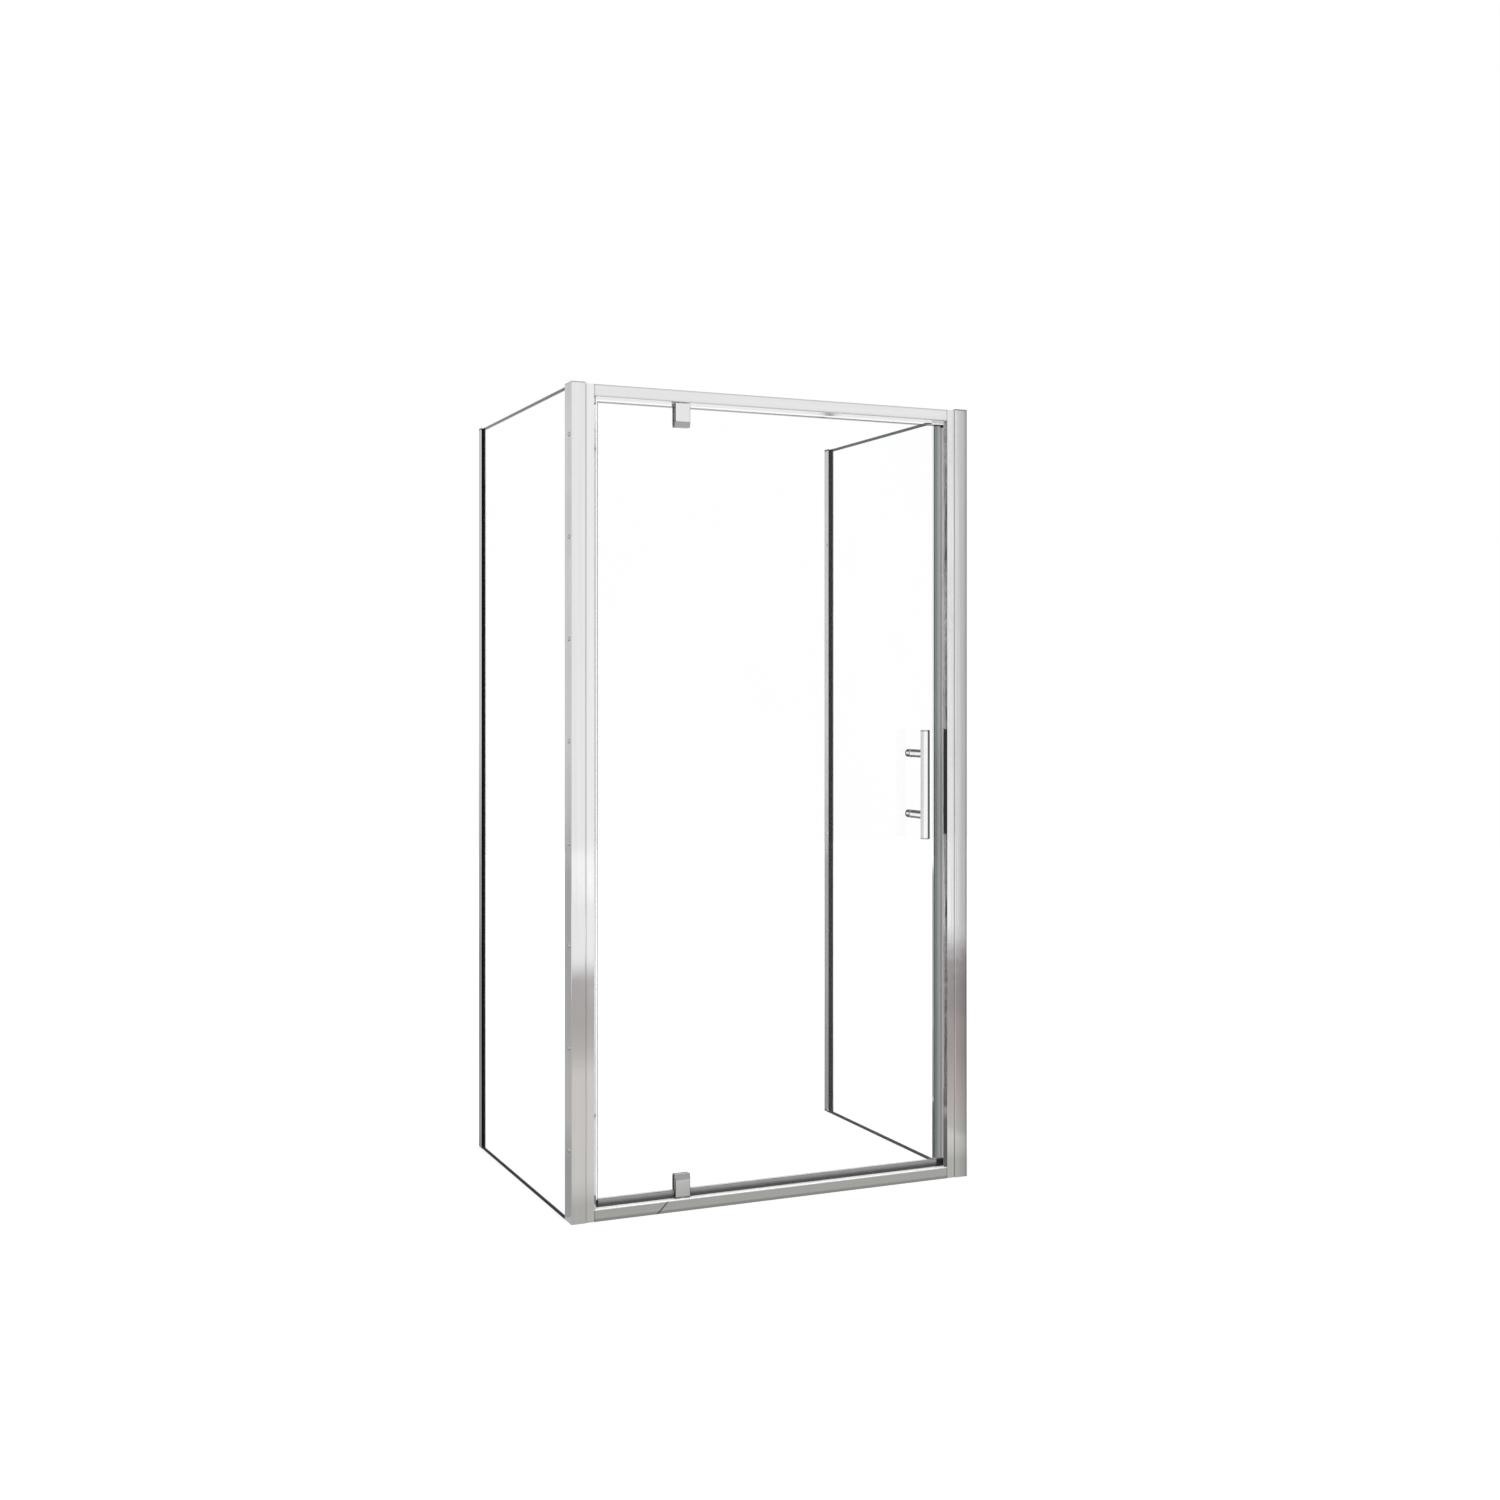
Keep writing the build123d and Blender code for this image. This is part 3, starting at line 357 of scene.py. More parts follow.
def clear_glass(name, dark_axes, top, line_height, line_tone, margin=None):
    """Clear glass with green edges, a painted dark line below its top and, where margin is given, a painted
    dark margin at the wall.
    """
    line_fade, margin_fade = 0.0005, 0.003
    glass_ior, hidden_ior = 1.5, 1.02
    line_start = top - line_height
    material, tree, shader, place = start_material(name)
    shader.inputs["Transmission Weight"].default_value = 1.0
    shader.inputs["Specular Tint"].default_value = (0.5, 0.5, 0.5, 1.0)
    shader.inputs["Roughness"].default_value = 0.0
    film = effect(tree, water_film, place, Patches_per_metre=3.0)
    face = ground_edges(tree, place, blend(tree, film, face_clear, face_filmed), dark_axes)
    face = blend(tree, along(tree, place, "Z", line_start, line_start + line_fade), face, line_tone)
    # The margin is painted black on the glass's own colour, where the gasket lies behind it.
    if margin:
        margin_start = channel_low.y - margin
        in_rubber = along(tree, place, "Y", margin_start, margin_start + margin_fade)
        face = blend(tree, in_rubber, face, painted_margin_black)
        vary(tree, in_rubber, glass_ior, hidden_ior, shader.inputs["IOR"])
    tree.links.new(face, shader.inputs["Base Color"])
    through = add_node(tree, "BsdfTransparent", Color=(0.93, 0.95, 0.94, 1.0))
    ray = add_node(tree, "LightPath")
    mix = add_node(tree, "MixShader")
    tree.links.new(ray.outputs["Is Shadow Ray"], mix.inputs["Fac"])
    tree.links.new(shader.outputs["BSDF"], mix.inputs[1])
    tree.links.new(through.outputs["BSDF"], mix.inputs[2])
    tree.links.new(mix.outputs["Shader"], tree.nodes["Material Output"].inputs["Surface"])
    return material


for side, margin in (("left", 0.028), ("right", 0.024)):
    pane_glass = clear_glass("pane_glass_" + side, "YZ", pane_top, side_line_height, side_line_tone, margin)
    wear(pane_glass, "side_glass_" + side)


# Floor seals: a strip under each side pane, which the pane presses on to the tray.
# They are the same black rubber as the gaskets, a little paler where they meet the wet tray.
wear(black_rubber("floor_seal_rubber", tone=0.010), *both_sides("side_floor_seal"))


# Side profiles: the rear half of each front corner, with the deep pocket that holds the side pane.
# They are drawn from the same bright aluminium as the channels, and a black gasket lines the pocket.
upright_chrome = polished_section("polished_upright", UPRIGHT, channel_tone, channel_die_lines)
wear(upright_chrome, *both_sides("side_profile"))
wear(gasket_rubber, *both_sides("side_gasket"))


# Jambs: the uprights beside the door opening, which slide in and out of the corners to suit the tray.
# Their faces are wider and smoother than the channels, so the die lines are further apart.
bevel_start, bevel_full = 0.5, 0.65


def groove_floor(tree, place):
    """The floor of the jamb's shadow groove, which looks forward but lies behind the face, where painted
    shade darkens it.
    """
    face_start, face_full = -0.6, -0.8
    face_line, groove_line = -0.0177, -0.0172
    forward = facing(tree, place, "Y", face_start, face_full)
    return calculate(tree, "MULTIPLY", forward, along(tree, place, "Y", face_line, groove_line))


def left_bevel(tree, place):
    """The bevel beside the door opening on the hinge side, painted a little darker for the darker room that
    it mirrors.
    """
    return facing(tree, place, "X", bevel_start, bevel_full)


def right_bevel_foot(tree, place):
    """The foot of the bevel on the closing side, painted darker towards the bottom as a painted reflection of
    the dark seals beside it.
    """
    lit_height, shaded_height = 0.19, 0.14
    towards = facing(tree, place, "X", -bevel_start, -bevel_full)
    ahead = facing(tree, place, "Y", -bevel_start, -bevel_full)
    bevel = calculate(tree, "MULTIPLY", towards, ahead)
    return calculate(tree, "MULTIPLY", bevel, along(tree, place, "Z", lit_height, shaded_height))


jamb_chrome = polished_section("polished_jamb", UPRIGHT, tone=0.83, lines=150.0)
# Painted shade on the jambs: the groove floor, the hinge-side bevel and the foot of the closing-side bevel
# are darkened.
retone(jamb_chrome, groove_floor, factor=0.80)
retone(jamb_chrome, left_bevel, factor=0.81)
retone(jamb_chrome, right_bevel_foot, factor=0.30)
wear(jamb_chrome, "hinge_jamb", "closing_jamb")


# Corner posts: the bright covers of the two front corners, clamped over the profile and the jamb's tongue.
# They are polished like the jambs, and on the right one shade is painted towards the bend at its outer edge.
post_lines = 120.0
bend_start, bend_full = 0.468, 0.490
edge_start, edge_full = 0.492, 0.497
wear(polished_section("polished_left_post", UPRIGHT, tone=0.79, lines=post_lines), "corner_post_left")
right_post_chrome = polished_section("polished_right_post", UPRIGHT, tone=0.80, lines=post_lines)
# Painted shade: darker towards the bend, and darker still at the outer edge.
retone(right_post_chrome, band("X", bend_start, bend_full), factor=0.80)
retone(right_post_chrome, band("X", edge_start, edge_full), factor=0.70)
wear(right_post_chrome, "corner_post_right")


# Post caps and jamb plugs: cast caps, plated to match the posts and pushed into their tops.
# The tops of the jambs are closed by plain moulded plugs of grey plastic.
def soft_grey(name, tone, rough):
    """Moulded plastic or rubber with a fine grain and slightly uneven colour."""
    dark_cloud, light_cloud = 0.92, 1.06
    grain_gain = 0.12
    material, tree, shader, place = start_material(name)
    cloud = speckle(tree, place, per_metre=60.0, detail=2.0)
    grain = speckle(tree, place, per_metre=1800.0, detail=3.0)
    shade(tree, cloud, grey(tone * dark_cloud), grey(tone * light_cloud), shader.inputs["Base Color"])
    moulded(tree, shader, grain, rough, rough + grain_gain, depth=0.00004, strength=0.5)
    return material


# Painted shade: the right cap is given a darker tone than the left, a shaded copy of the same plating.
for side, cap_tone in (("left", 0.50), ("right", 0.30)):
    wear(spun_metal(f"plated_{side}_cap", cap_tone, rough=0.10), "post_cap_" + side)
wear(soft_grey("plug_plastic", tone=0.35, rough=0.5), "jamb_top_plugs")


# Side screws and their caps: eight stainless screws a side, driven through post, side profile and jamb.
# Each screw head is hidden under a small snap-on cap, plated with chrome.
wear(spun_metal("stainless_screw", tone=0.55, rough=0.22), *both_sides("post_side_screws"))
wear(spun_metal("plated_cap", tone=0.62, rough=0.12), *both_sides("post_side_caps"))


# Top rail and threshold: flat hollow sections of the same aluminium, drawn along the width of the front.
# The threshold comes in two lengths that meet at a slanted joint, with a plain sleeve inside.
ACROSS = (0.012, 1.0, 1.0)
rail_lines = 150.0
rail_low, rail_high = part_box("top_rail")
left_length_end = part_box("sill_left_length")[1]
sill_height = left_length_end.z
joint_height = sill_height / 2
joint_place = left_length_end.x - joint_height
level_start, level_full = 0.6, 0.8


def rail_edges(tree, place):
    """The worked edges of the top rail, painted a little darker than its face as shade."""
    upper_start, upper_full = 0.0045, 0.002
    lower_start, lower_full = 0.004, 0.0015
    upper = along(tree, place, "Z", rail_high.z - upper_start, rail_high.z - upper_full)
    lower = along(tree, place, "Z", rail_low.z + lower_start, rail_low.z + lower_full)
    return calculate(tree, "MAXIMUM", upper, lower)


def rail_ends(tree, place):
    """The coped ends of a rail, which show as fine lines where they meet the jambs, painted darker as the
    shade in that joint.
    """
    end_start, end_full = 0.003, 0.002
    from_middle = calculate(tree, "ABSOLUTE", coordinate(tree, place, "X"))
    return span(tree, from_middle, rail_high.x - end_start, rail_high.x - end_full)


def rail_underside(tree, place):
    """The underside of the top rail, which the polishing wheel hardly reaches, and whose colour is painted
    brighter as a highlight.
    """
    return facing(tree, place, "Z", -level_start, -level_full)


def sill_foot(tree, place):
    """The lowest few millimetres of the threshold, painted darker as shade near the tray."""
    lit_height, shaded_height = 0.009, 0.004
    return along(tree, place, "Z", lit_height, shaded_height)


def sill_rim(tree, place):
    """The rounded rim along the top of the threshold's face, painted brighter as a highlight."""
    rim_start, rim_full = 0.0028, 0.0018
    return along(tree, place, "Z", sill_height - rim_start, sill_height - rim_full)


def sill_top(tree, place):
    """The top of the threshold, which feet and water have dulled to a satin, and whose paleness is painted
    light.
    """
    return facing(tree, place, "Z", level_start, level_full)


def joint_line(tree, place):
    """A thin smear of grey sealant along the slanted joint of the threshold."""
    clear_of_joint, in_joint = 0.0032, 0.0018
    above_face, on_face_full = 0.0010, 0.0025
    across = calculate(tree, "ADD", coordinate(tree, place, "X"), -joint_place)
    up = calculate(tree, "ADD", coordinate(tree, place, "Z"), -joint_height)
    off = calculate(tree, "ABSOLUTE", calculate(tree, "SUBTRACT", across, up))
    on_face = along(tree, place, "Z", sill_height - above_face, sill_height - on_face_full)
    return calculate(tree, "MULTIPLY", span(tree, off, clear_of_joint, in_joint), on_face)


def dull(material, mask, rough):
    """The material's polish is lost where the mask is 1, up to this roughness. Gives back the shader."""
    tree = material.node_tree
    shader = tree.nodes["Principled BSDF"]
    polish = shader.inputs["Roughness"].links[0].from_socket
    tree.links.new(blend(tree, mask, polish, rough), shader.inputs["Roughness"])
    return shader


rail_chrome = polished_section("polished_rail", ACROSS, tone=0.79, lines=rail_lines)
retone(rail_chrome, rail_edges, factor=0.80)
retone(rail_chrome, rail_ends, factor=0.66)
# The rail's underside is duller, and its colour is painted brighter there as a painted highlight.
dull(rail_chrome, retone(rail_chrome, rail_underside, factor=1.1), rough=0.22)
wear(rail_chrome, "top_rail")

# Painted shade: the threshold's aluminium is given a darker tone than the rail's.
sill_chrome = polished_section("polished_sill", ACROSS, tone=0.70, lines=rail_lines)
retone(sill_chrome, rail_ends, factor=0.66)
retone(sill_chrome, sill_foot, factor=0.65)
retone(sill_chrome, sill_rim, factor=1.32)
# Painted light on the threshold's top: its colour is made paler there, on top of the duller, non-metal satin.
worn_and_lit_top = retone(sill_chrome, sill_top, factor=1.45)
sill_shader = dull(sill_chrome, worn_and_lit_top, rough=0.5)
shade(sill_chrome.node_tree, worn_and_lit_top, 1.0, 0.0, sill_shader.inputs["Metallic"])
retone(sill_chrome, joint_line, factor=0.34)
wear(sill_chrome, "sill_left_length", "sill_right_length")


def mill_finish(name, tone):
    """Aluminium as it comes from the die, with plain grey lines."""
    in_line, between_lines = 0.85, 1.05
    line_depth = 0.00003
    smooth, rough = 0.28, 0.42
    material, tree, shader, place = start_material(name)
    shader.inputs["Metallic"].default_value = 1.0
    die = effect(tree, drawn_lines, place, Stretch=ACROSS, Lines_per_metre=700.0)
    shade(tree, die, grey(tone * in_line), grey(tone * between_lines), shader.inputs["Base Color"])
    vary(tree, die, smooth, rough, shader.inputs["Roughness"])
    raised(tree, shader, die, line_depth)
    return material


wear(mill_finish("mill_finish", tone=0.62), "sill_joiner")


# Corner screws: stainless screws driven from the jambs into the screw ports of the rail and the threshold.
# Their heads are turned steel, plain and a little duller than the plated fittings.
corner_steel = spun_metal("corner_screw_steel", tone=0.55, rough=0.2)
wear(corner_steel, "corner_screws_top", "corner_screws_bottom")


# Magnet strips: a clear strip clipped to the closing jamb, with a dark magnet that pulls the door shut.
# The soft plastic is smoky where it lies over metal and pale where light comes through its thin lips.
strip_low, strip_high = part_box("jamb_magnet_strip")
lip_depth = 0.0035
strip_lip = strip_low.y + lip_depth
strip_front, strip_back = (0.80, 0.80, 0.80), (0.52, 0.52, 0.52)


def soft_clear_plastic(name, first, second, low, high, axis):
    """Soft clear plastic that goes from one colour at low to another at high along one axis, in metres."""
    line_depth, line_strength = 0.00003, 0.5
    clean_rough, filmed_rough = 0.12, 0.3
    material, tree, shader, place = start_material(name)
    shader.inputs["Transmission Weight"].default_value = 0.1
    shader.inputs["IOR"].default_value = 1.46
    shade(tree, along(tree, place, axis, low, high), first, second, shader.inputs["Base Color"])
    film = effect(tree, water_film, place, Patches_per_metre=12.0)
    vary(tree, film, clean_rough, filmed_rough, shader.inputs["Roughness"])
    die = effect(tree, drawn_lines, place, Stretch=ACROSS, Lines_per_metre=500.0)
    raised(tree, shader, die, line_depth, line_strength)
    return material


def strip_body(tree, place):
    """All of the jamb's strip but its right-hand edge, which catches the light."""
    edge_start, edge_full = 0.001, 0.0016
    return along(tree, place, "X", strip_high.x - edge_start, strip_high.x - edge_full)


def strip_end(tree, place):
    """The upper end of the jamb's strip, painted nearly black as the shade under the top rail."""
    end_start, end_full = 0.008, 0.006
    return along(tree, place, "Z", strip_high.z - end_start, strip_high.z - end_full)


strip_plastic = soft_clear_plastic("strip_plastic", strip_front, strip_back, strip_low.y, strip_lip, "Y")
retone(strip_plastic, strip_body, factor=0.82)
retone(strip_plastic, strip_end, factor=0.02)
wear(strip_plastic, "jamb_magnet_strip")
magnet_rubber = black_rubber("magnet_rubber", tone=0.016)
wear(magnet_rubber, "jamb_magnet")


# Pivot bushes: plain bushes pressed into the rail and the threshold, in which the door's pins turn.
# They are moulded in white nylon, which runs dry on the steel pins.
white_nylon = soft_grey("white_nylon", tone=0.80, rough=0.38)
wear(white_nylon, "top_pivot_bush", "bottom_pivot_bush")


# Door glass: one pane of the same 6 mm glass, drilled for the pivot blocks and the handle.
# Its upright edges are hidden in the door's seals, so only the top and bottom edges look dark.
door_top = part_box("door_glass")[1].z
# Painted shade: a grey line is painted just below the door's top, for that edge seen through the glass.
door_line_tone = (0.42, 0.43, 0.42)
door_line_height = 0.004
wear(clear_glass("door_pane_glass", "Z", door_top, door_line_height, door_line_tone), "door_glass")


# Pivot blocks: cast and plated clamps, an outer and an inner half at the top and the bottom of the door.
# Rubber pads grip the glass, nylon sleeves line its holes, and socket screws pull the halves together.
# Painted shade: the foot of each block is darkened where it meets the threshold.
block_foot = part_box("bottom_block_outer")[0].z
foot_start, foot_full = 0.004, 0.002
foot_edge = band("Z", block_foot + foot_start, block_foot + foot_full)


def block_bevel(tree, place):
    """The sloping end of a block, painted darker than the face as the shade it mirrors."""
    slope_start, slope_full = 0.16, 0.22
    end_start, end_full = 0.7, 0.8
    sloping = facing(tree, place, "Z", slope_start, slope_full, either_way=True)
    level = facing(tree, place, "Z", end_start, end_full, either_way=True)
    return calculate(tree, "SUBTRACT", sloping, level)


def block_sides(tree, place):
    """The sides and edges of a block, painted darker as the dark room they mirror."""
    side_start, side_full = 0.25, 0.7
    return facing(tree, place, "X", side_start, side_full, either_way=True)


block_chrome = spun_metal("plated_block", tone=0.80, rough=0.10, film_gain=0.10)
retone(block_chrome, block_bevel, factor=0.42)
retone(block_chrome, block_sides, factor=0.16)
retone(block_chrome, foot_edge, factor=0.30)
for end in ("top", "bottom"):
    wear(block_chrome, end + "_block_outer", end + "_block_inner")
wear(soft_grey("pad_rubber", tone=0.16, rough=0.6), "pivot_block_pads")
wear(white_nylon, "pivot_block_sleeves")
wear(spun_metal("block_screw_steel", tone=0.5, rough=0.2), "pivot_block_screws")
wear(spun_metal("pin_steel", tone=0.6, rough=0.16), "top_pivot_pin", "bottom_pivot_pin")


# Handle: a round chrome bar on two posts, with a knob inside the door behind each post.
# Studs through the glass join posts and knobs, with nylon washers against its faces.
bar_low, bar_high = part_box("handle_bar")
# Painted shade: the back ends of the knobs, inside the door, are darkened.
knob_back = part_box("handle_inner_knobs")[1].y
knob_end_start, knob_end_full = 0.008, 0.005
knob_end = band("Y", knob_back - knob_end_start, knob_back - knob_end_full)


def bar_ends(tree, place):
    """The rims at both ends of the bar, painted darker than its length as shade."""
    rim_start, rim_full = 0.0045, 0.003
    upper = along(tree, place, "Z", bar_high.z - rim_start, bar_high.z - rim_full)
    lower = along(tree, place, "Z", bar_low.z + rim_start, bar_low.z + rim_full)
    return calculate(tree, "MAXIMUM", upper, lower)


def bar_back(tree, place):
    """The sides and back of the bar, all but the face towards the room, painted darker as shade."""
    round_start, round_full = -0.5, -0.2
    return facing(tree, place, "Y", round_start, round_full)


def bar_right(tree, place):
    """The right flank of the bar, on its shaded side."""
    round_start, round_full = 0.1, 0.5
    return facing(tree, place, "X", round_start, round_full)


def knob_round(tree, place):
    """The top and bottom of a post or knob, painted dark beside its bright sides as the dark floor and room
    they mirror.
    """
    round_start, round_full = 0.18, 0.50
    return facing(tree, place, "Z", round_start, round_full, either_way=True)


bar_chrome = spun_metal("plated_handle", tone=0.93, rough=0.05, film_gain=0.05)
retone(bar_chrome, bar_back, factor=0.66)
retone(bar_chrome, bar_right, factor=0.82)
retone(bar_chrome, bar_ends, factor=0.55)
wear(bar_chrome, "handle_bar")
knob_chrome = spun_metal("plated_knob", tone=0.86, rough=0.06, film_gain=0.06)
retone(knob_chrome, knob_round, factor=0.03)
retone(knob_chrome, knob_end, factor=0.05)
wear(knob_chrome, "handle_posts", "handle_inner_knobs")
wear(white_nylon, "handle_washers")
wear(spun_metal("stud_steel", tone=0.6, rough=0.2), "handle_studs")


# Door seals: clear soft strips pushed on to the closing edge, the hinge edge and the bottom of the glass.
# The bottom strip has a hollow body, a wiper that rides over the threshold and a fin that sheds drips inside.
edge_low, edge_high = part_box("door_magnet_seal")
seal_low, seal_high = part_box("bottom_seal_long")
edge_smoke_and_shade, edge_pale = (0.27, 0.30, 0.285), (0.56, 0.60, 0.58)
grip_width = 0.004
grip_end = edge_low.x + grip_width
seal_end_start, seal_end_full = 0.004, 0.003
seal_end = band("Z", edge_high.z - seal_end_start, edge_high.z - seal_end_full)
body_dark, lip_pale = (0.075, 0.075, 0.075), (0.52, 0.52, 0.52)
body_rise, lip_drop, clear_lip_drop = 0.006, 0.003, 0.0045
body_start, lip_start = seal_low.z + body_rise, seal_high.z - lip_drop
lip_cover = 0.15


def water_clear_plastic(name):
    """A thin strip so clear that little more than its film of water shows."""
    clean_tone, filmed_tone = 0.88, 0.94
    clean_rough, filmed_rough = 0.15, 0.35
    clean_cover, filmed_cover = 0.015, 0.035
    material, tree, shader, place = start_material(name)
    film = effect(tree, water_film, place, Patches_per_metre=12.0)
    shade(tree, film, grey(clean_tone), grey(filmed_tone), shader.inputs["Base Color"])
    vary(tree, film, clean_rough, filmed_rough, shader.inputs["Roughness"])
    vary(tree, film, clean_cover, filmed_cover, shader.inputs["Alpha"])
    return material


# Painted shade and light: the closing-edge seal goes from dark where it grips the glass to pale at its free
# edge, and its top end is painted dark as shade under the top rail.
edge_plastic = soft_clear_plastic("edge_seal_plastic", edge_smoke_and_shade, edge_pale, grip_end, edge_high.x, "X")
retone(edge_plastic, seal_end, factor=0.12)
wear(edge_plastic, "door_magnet_seal")
wear(magnet_rubber, "door_magnet")
wear(water_clear_plastic("hinge_seal_plastic"), "door_hinge_edge_seal")
# Painted shade and light: the bottom seal is dark low in its body and pale towards its thin lip, where light
# comes through.
bottom_plastic = soft_clear_plastic("bottom_seal_plastic", body_dark, lip_pale, body_start, lip_start, "Z")
bottom_tree = bottom_plastic.node_tree
bottom_place = bottom_tree.nodes["Texture Coordinate"]
thin_lip = along(bottom_tree, bottom_place, "Z", seal_high.z - clear_lip_drop, lip_start)
vary(bottom_tree, thin_lip, 1.0, lip_cover, bottom_tree.nodes["Principled BSDF"].inputs["Alpha"])
wear(bottom_plastic, "bottom_seal_short", "bottom_seal_long")


# End pads: soft black rubber blocks pushed into the two ends of the bottom seal beside the jambs.
# Each is moulded with bevelled edges and a shallow waist, and wipes over the top of the threshold.
pad_gap = 0.0015
hinge_side_gap = 0.001
pad_half_depth = 0.0045
short_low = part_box("bottom_seal_short")[0]
jamb_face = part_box("closing_jamb")[0].x
left_pad_reach = (-jamb_face + pad_gap + hinge_side_gap, short_low.x)
right_pad_reach = (seal_high.x, jamb_face - pad_gap)
pad_rise, pad_drop = 0.0008, 0.005
pad_foot = seal_low.z + pad_rise
pad_top = edge_low.z - pad_drop


def end_pads(name, reaches, half_depth, low, high):
    """Pads between the pairs of X in reaches, whose section is waisted and bevelled, in metres."""
    bevel = 0.0012
    waist = 0.0006
    middle = (low + high) / 2
    half_outline = [
        (half_depth - bevel, low),
        (half_depth, low + bevel),
        (half_depth, middle - 2 * bevel),
        (half_depth - waist, middle),
        (half_depth, middle + 2 * bevel),
        (half_depth, high - bevel),
        (half_depth - bevel, high),
    ]
    outline = half_outline + [(-y, z) for y, z in reversed(half_outline)]
    mesh = bmesh.new()
    for reach in reaches:
        rings = [[mesh.verts.new((x, y, z)) for y, z in outline] for x in reach]
        for first in range(len(outline)):
            second = (first + 1) % len(outline)
            mesh.faces.new((rings[0][first], rings[0][second], rings[1][second], rings[1][first]))
        mesh.faces.new(rings[1])
        mesh.faces.new(list(reversed(rings[0])))
    bmesh.ops.recalc_face_normals(mesh, faces=mesh.faces)
    data = bpy.data.meshes.new(name)
    mesh.to_mesh(data)
    mesh.free()
    piece = bpy.data.objects.new(name, data)
    bpy.context.scene.collection.objects.link(piece)
    return piece


pad_reaches = (left_pad_reach, right_pad_reach)
pads = end_pads("seal_end_pads", pad_reaches, pad_half_depth, pad_foot, pad_top)
pads.data.materials.append(black_rubber("pad_black", tone=0.022))
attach(pads, "door")


# Studio: a pale floor with nothing on it and a white backdrop all round, seen by eye, metal and glass alike.
# The floor glows a little for the eye, so that only the object's own shadow shows on it.
EYE_RAYS = ("Is Camera Ray", "Is Glossy Ray", "Is Transmission Ray")
floor_reach = 9.0
floor_drop = 0.0004
backdrop_light, backdrop_white = 0.6, 1.0


def flat_sheet(name, low, high):
    """A level or upright rectangle from its low corner to the one across from it, in metres."""
    low, high = Vector(low), Vector(high)
    if low.z == high.z:
        corners = [(low.x, low.y), (high.x, low.y), (high.x, high.y), (low.x, high.y)]
        points = [(x, y, low.z) for x, y in corners]
    else:
        ends = [(low.x, low.y), (high.x, high.y)]
        points = [(x, y, low.z) for x, y in ends] + [(x, y, high.z) for x, y in reversed(ends)]
    mesh = bpy.data.meshes.new(name)
    mesh.from_pydata(points, [], [(0, 1, 2, 3)])
    sheet = bpy.data.objects.new(name, mesh)
    bpy.context.scene.collection.objects.link(sheet)
    return sheet


def seen_by_eye(tree):
    """1 for the rays that the eye sees, straight, mirrored or through glass, and 0 for the rest."""
    ray = add_node(tree, "LightPath")
    straight, *others = [ray.outputs[kind] for kind in EYE_RAYS]
    seen = straight
    for other in others:
        seen = calculate(tree, "MAXIMUM", seen, other)
    return seen


def floor_material():
    """Pale matt floor, lifted to white for the eye."""
    near, far = 0.8, 3.0
    near_lift, far_lift = 0.68, 0.85
    material, tree, shader, place = start_material("studio_floor")
    shader.inputs["Roughness"].default_value = 0.9
    shader.inputs["Specular IOR Level"].default_value = 0.0
    shader.inputs["Base Color"].default_value = (0.46, 0.46, 0.46, 1.0)
    shader.inputs["Emission Color"].default_value = (1.0, 1.0, 1.0, 1.0)
    distance = add_node(tree, "VectorMath", {"operation": "LENGTH"})
    tree.links.new(place.outputs["Object"], distance.inputs[0])
    lift = span(tree, distance.outputs["Value"], near, far, near_lift, far_lift)
    lift = calculate(tree, "MULTIPLY", lift, seen_by_eye(tree))
    tree.links.new(lift, shader.inputs["Emission Strength"])
    return material


floor_corner = (floor_reach, floor_reach, -floor_drop)
floor = flat_sheet("studio_floor", (-floor_reach, -floor_reach, -floor_drop), floor_corner)
floor.data.materials.append(floor_material())

world = bpy.data.worlds.new("studio_white")
bpy.context.scene.world = world
world.use_nodes = True
sky_tree = world.node_tree
backdrop = sky_tree.nodes["Background"]
backdrop.inputs["Color"].default_value = (1.0, 1.0, 1.0, 1.0)
vary(sky_tree, seen_by_eye(sky_tree), backdrop_light, backdrop_white, backdrop.inputs["Strength"])


# Studio cards: grey and warm grey cards that only polished metal mirrors, as a photographer lays them out.
# Cloths on the floor darken the feet of the uprights, and upright cards give the metal its edges.
# Small dark flags near the door each darken one bevel, the bar of the handle or the foot of a block.
NEUTRAL = (1.0, 1.0, 1.0)
cloth_lift, inside_cloth_lift = 0.0006, 0.0009


def ramp(tree, source, stops):
    """The tone at the source's value, between stops that pair a place in metres with the tone there."""
    first, last = stops[0][0], stops[-1][0]
    node = add_node(tree, "ValToRGB")
    tree.links.new(span(tree, source, first, last), node.inputs["Fac"])
    points = node.color_ramp.elements
    for spare in stops[2:]:
        points.new(1.0)
    for point, (place, tone) in zip(points, stops):
        point.position = (place - first) / (last - first)
        point.color = (tone, tone, tone, 1.0)
    return node.outputs["Color"]


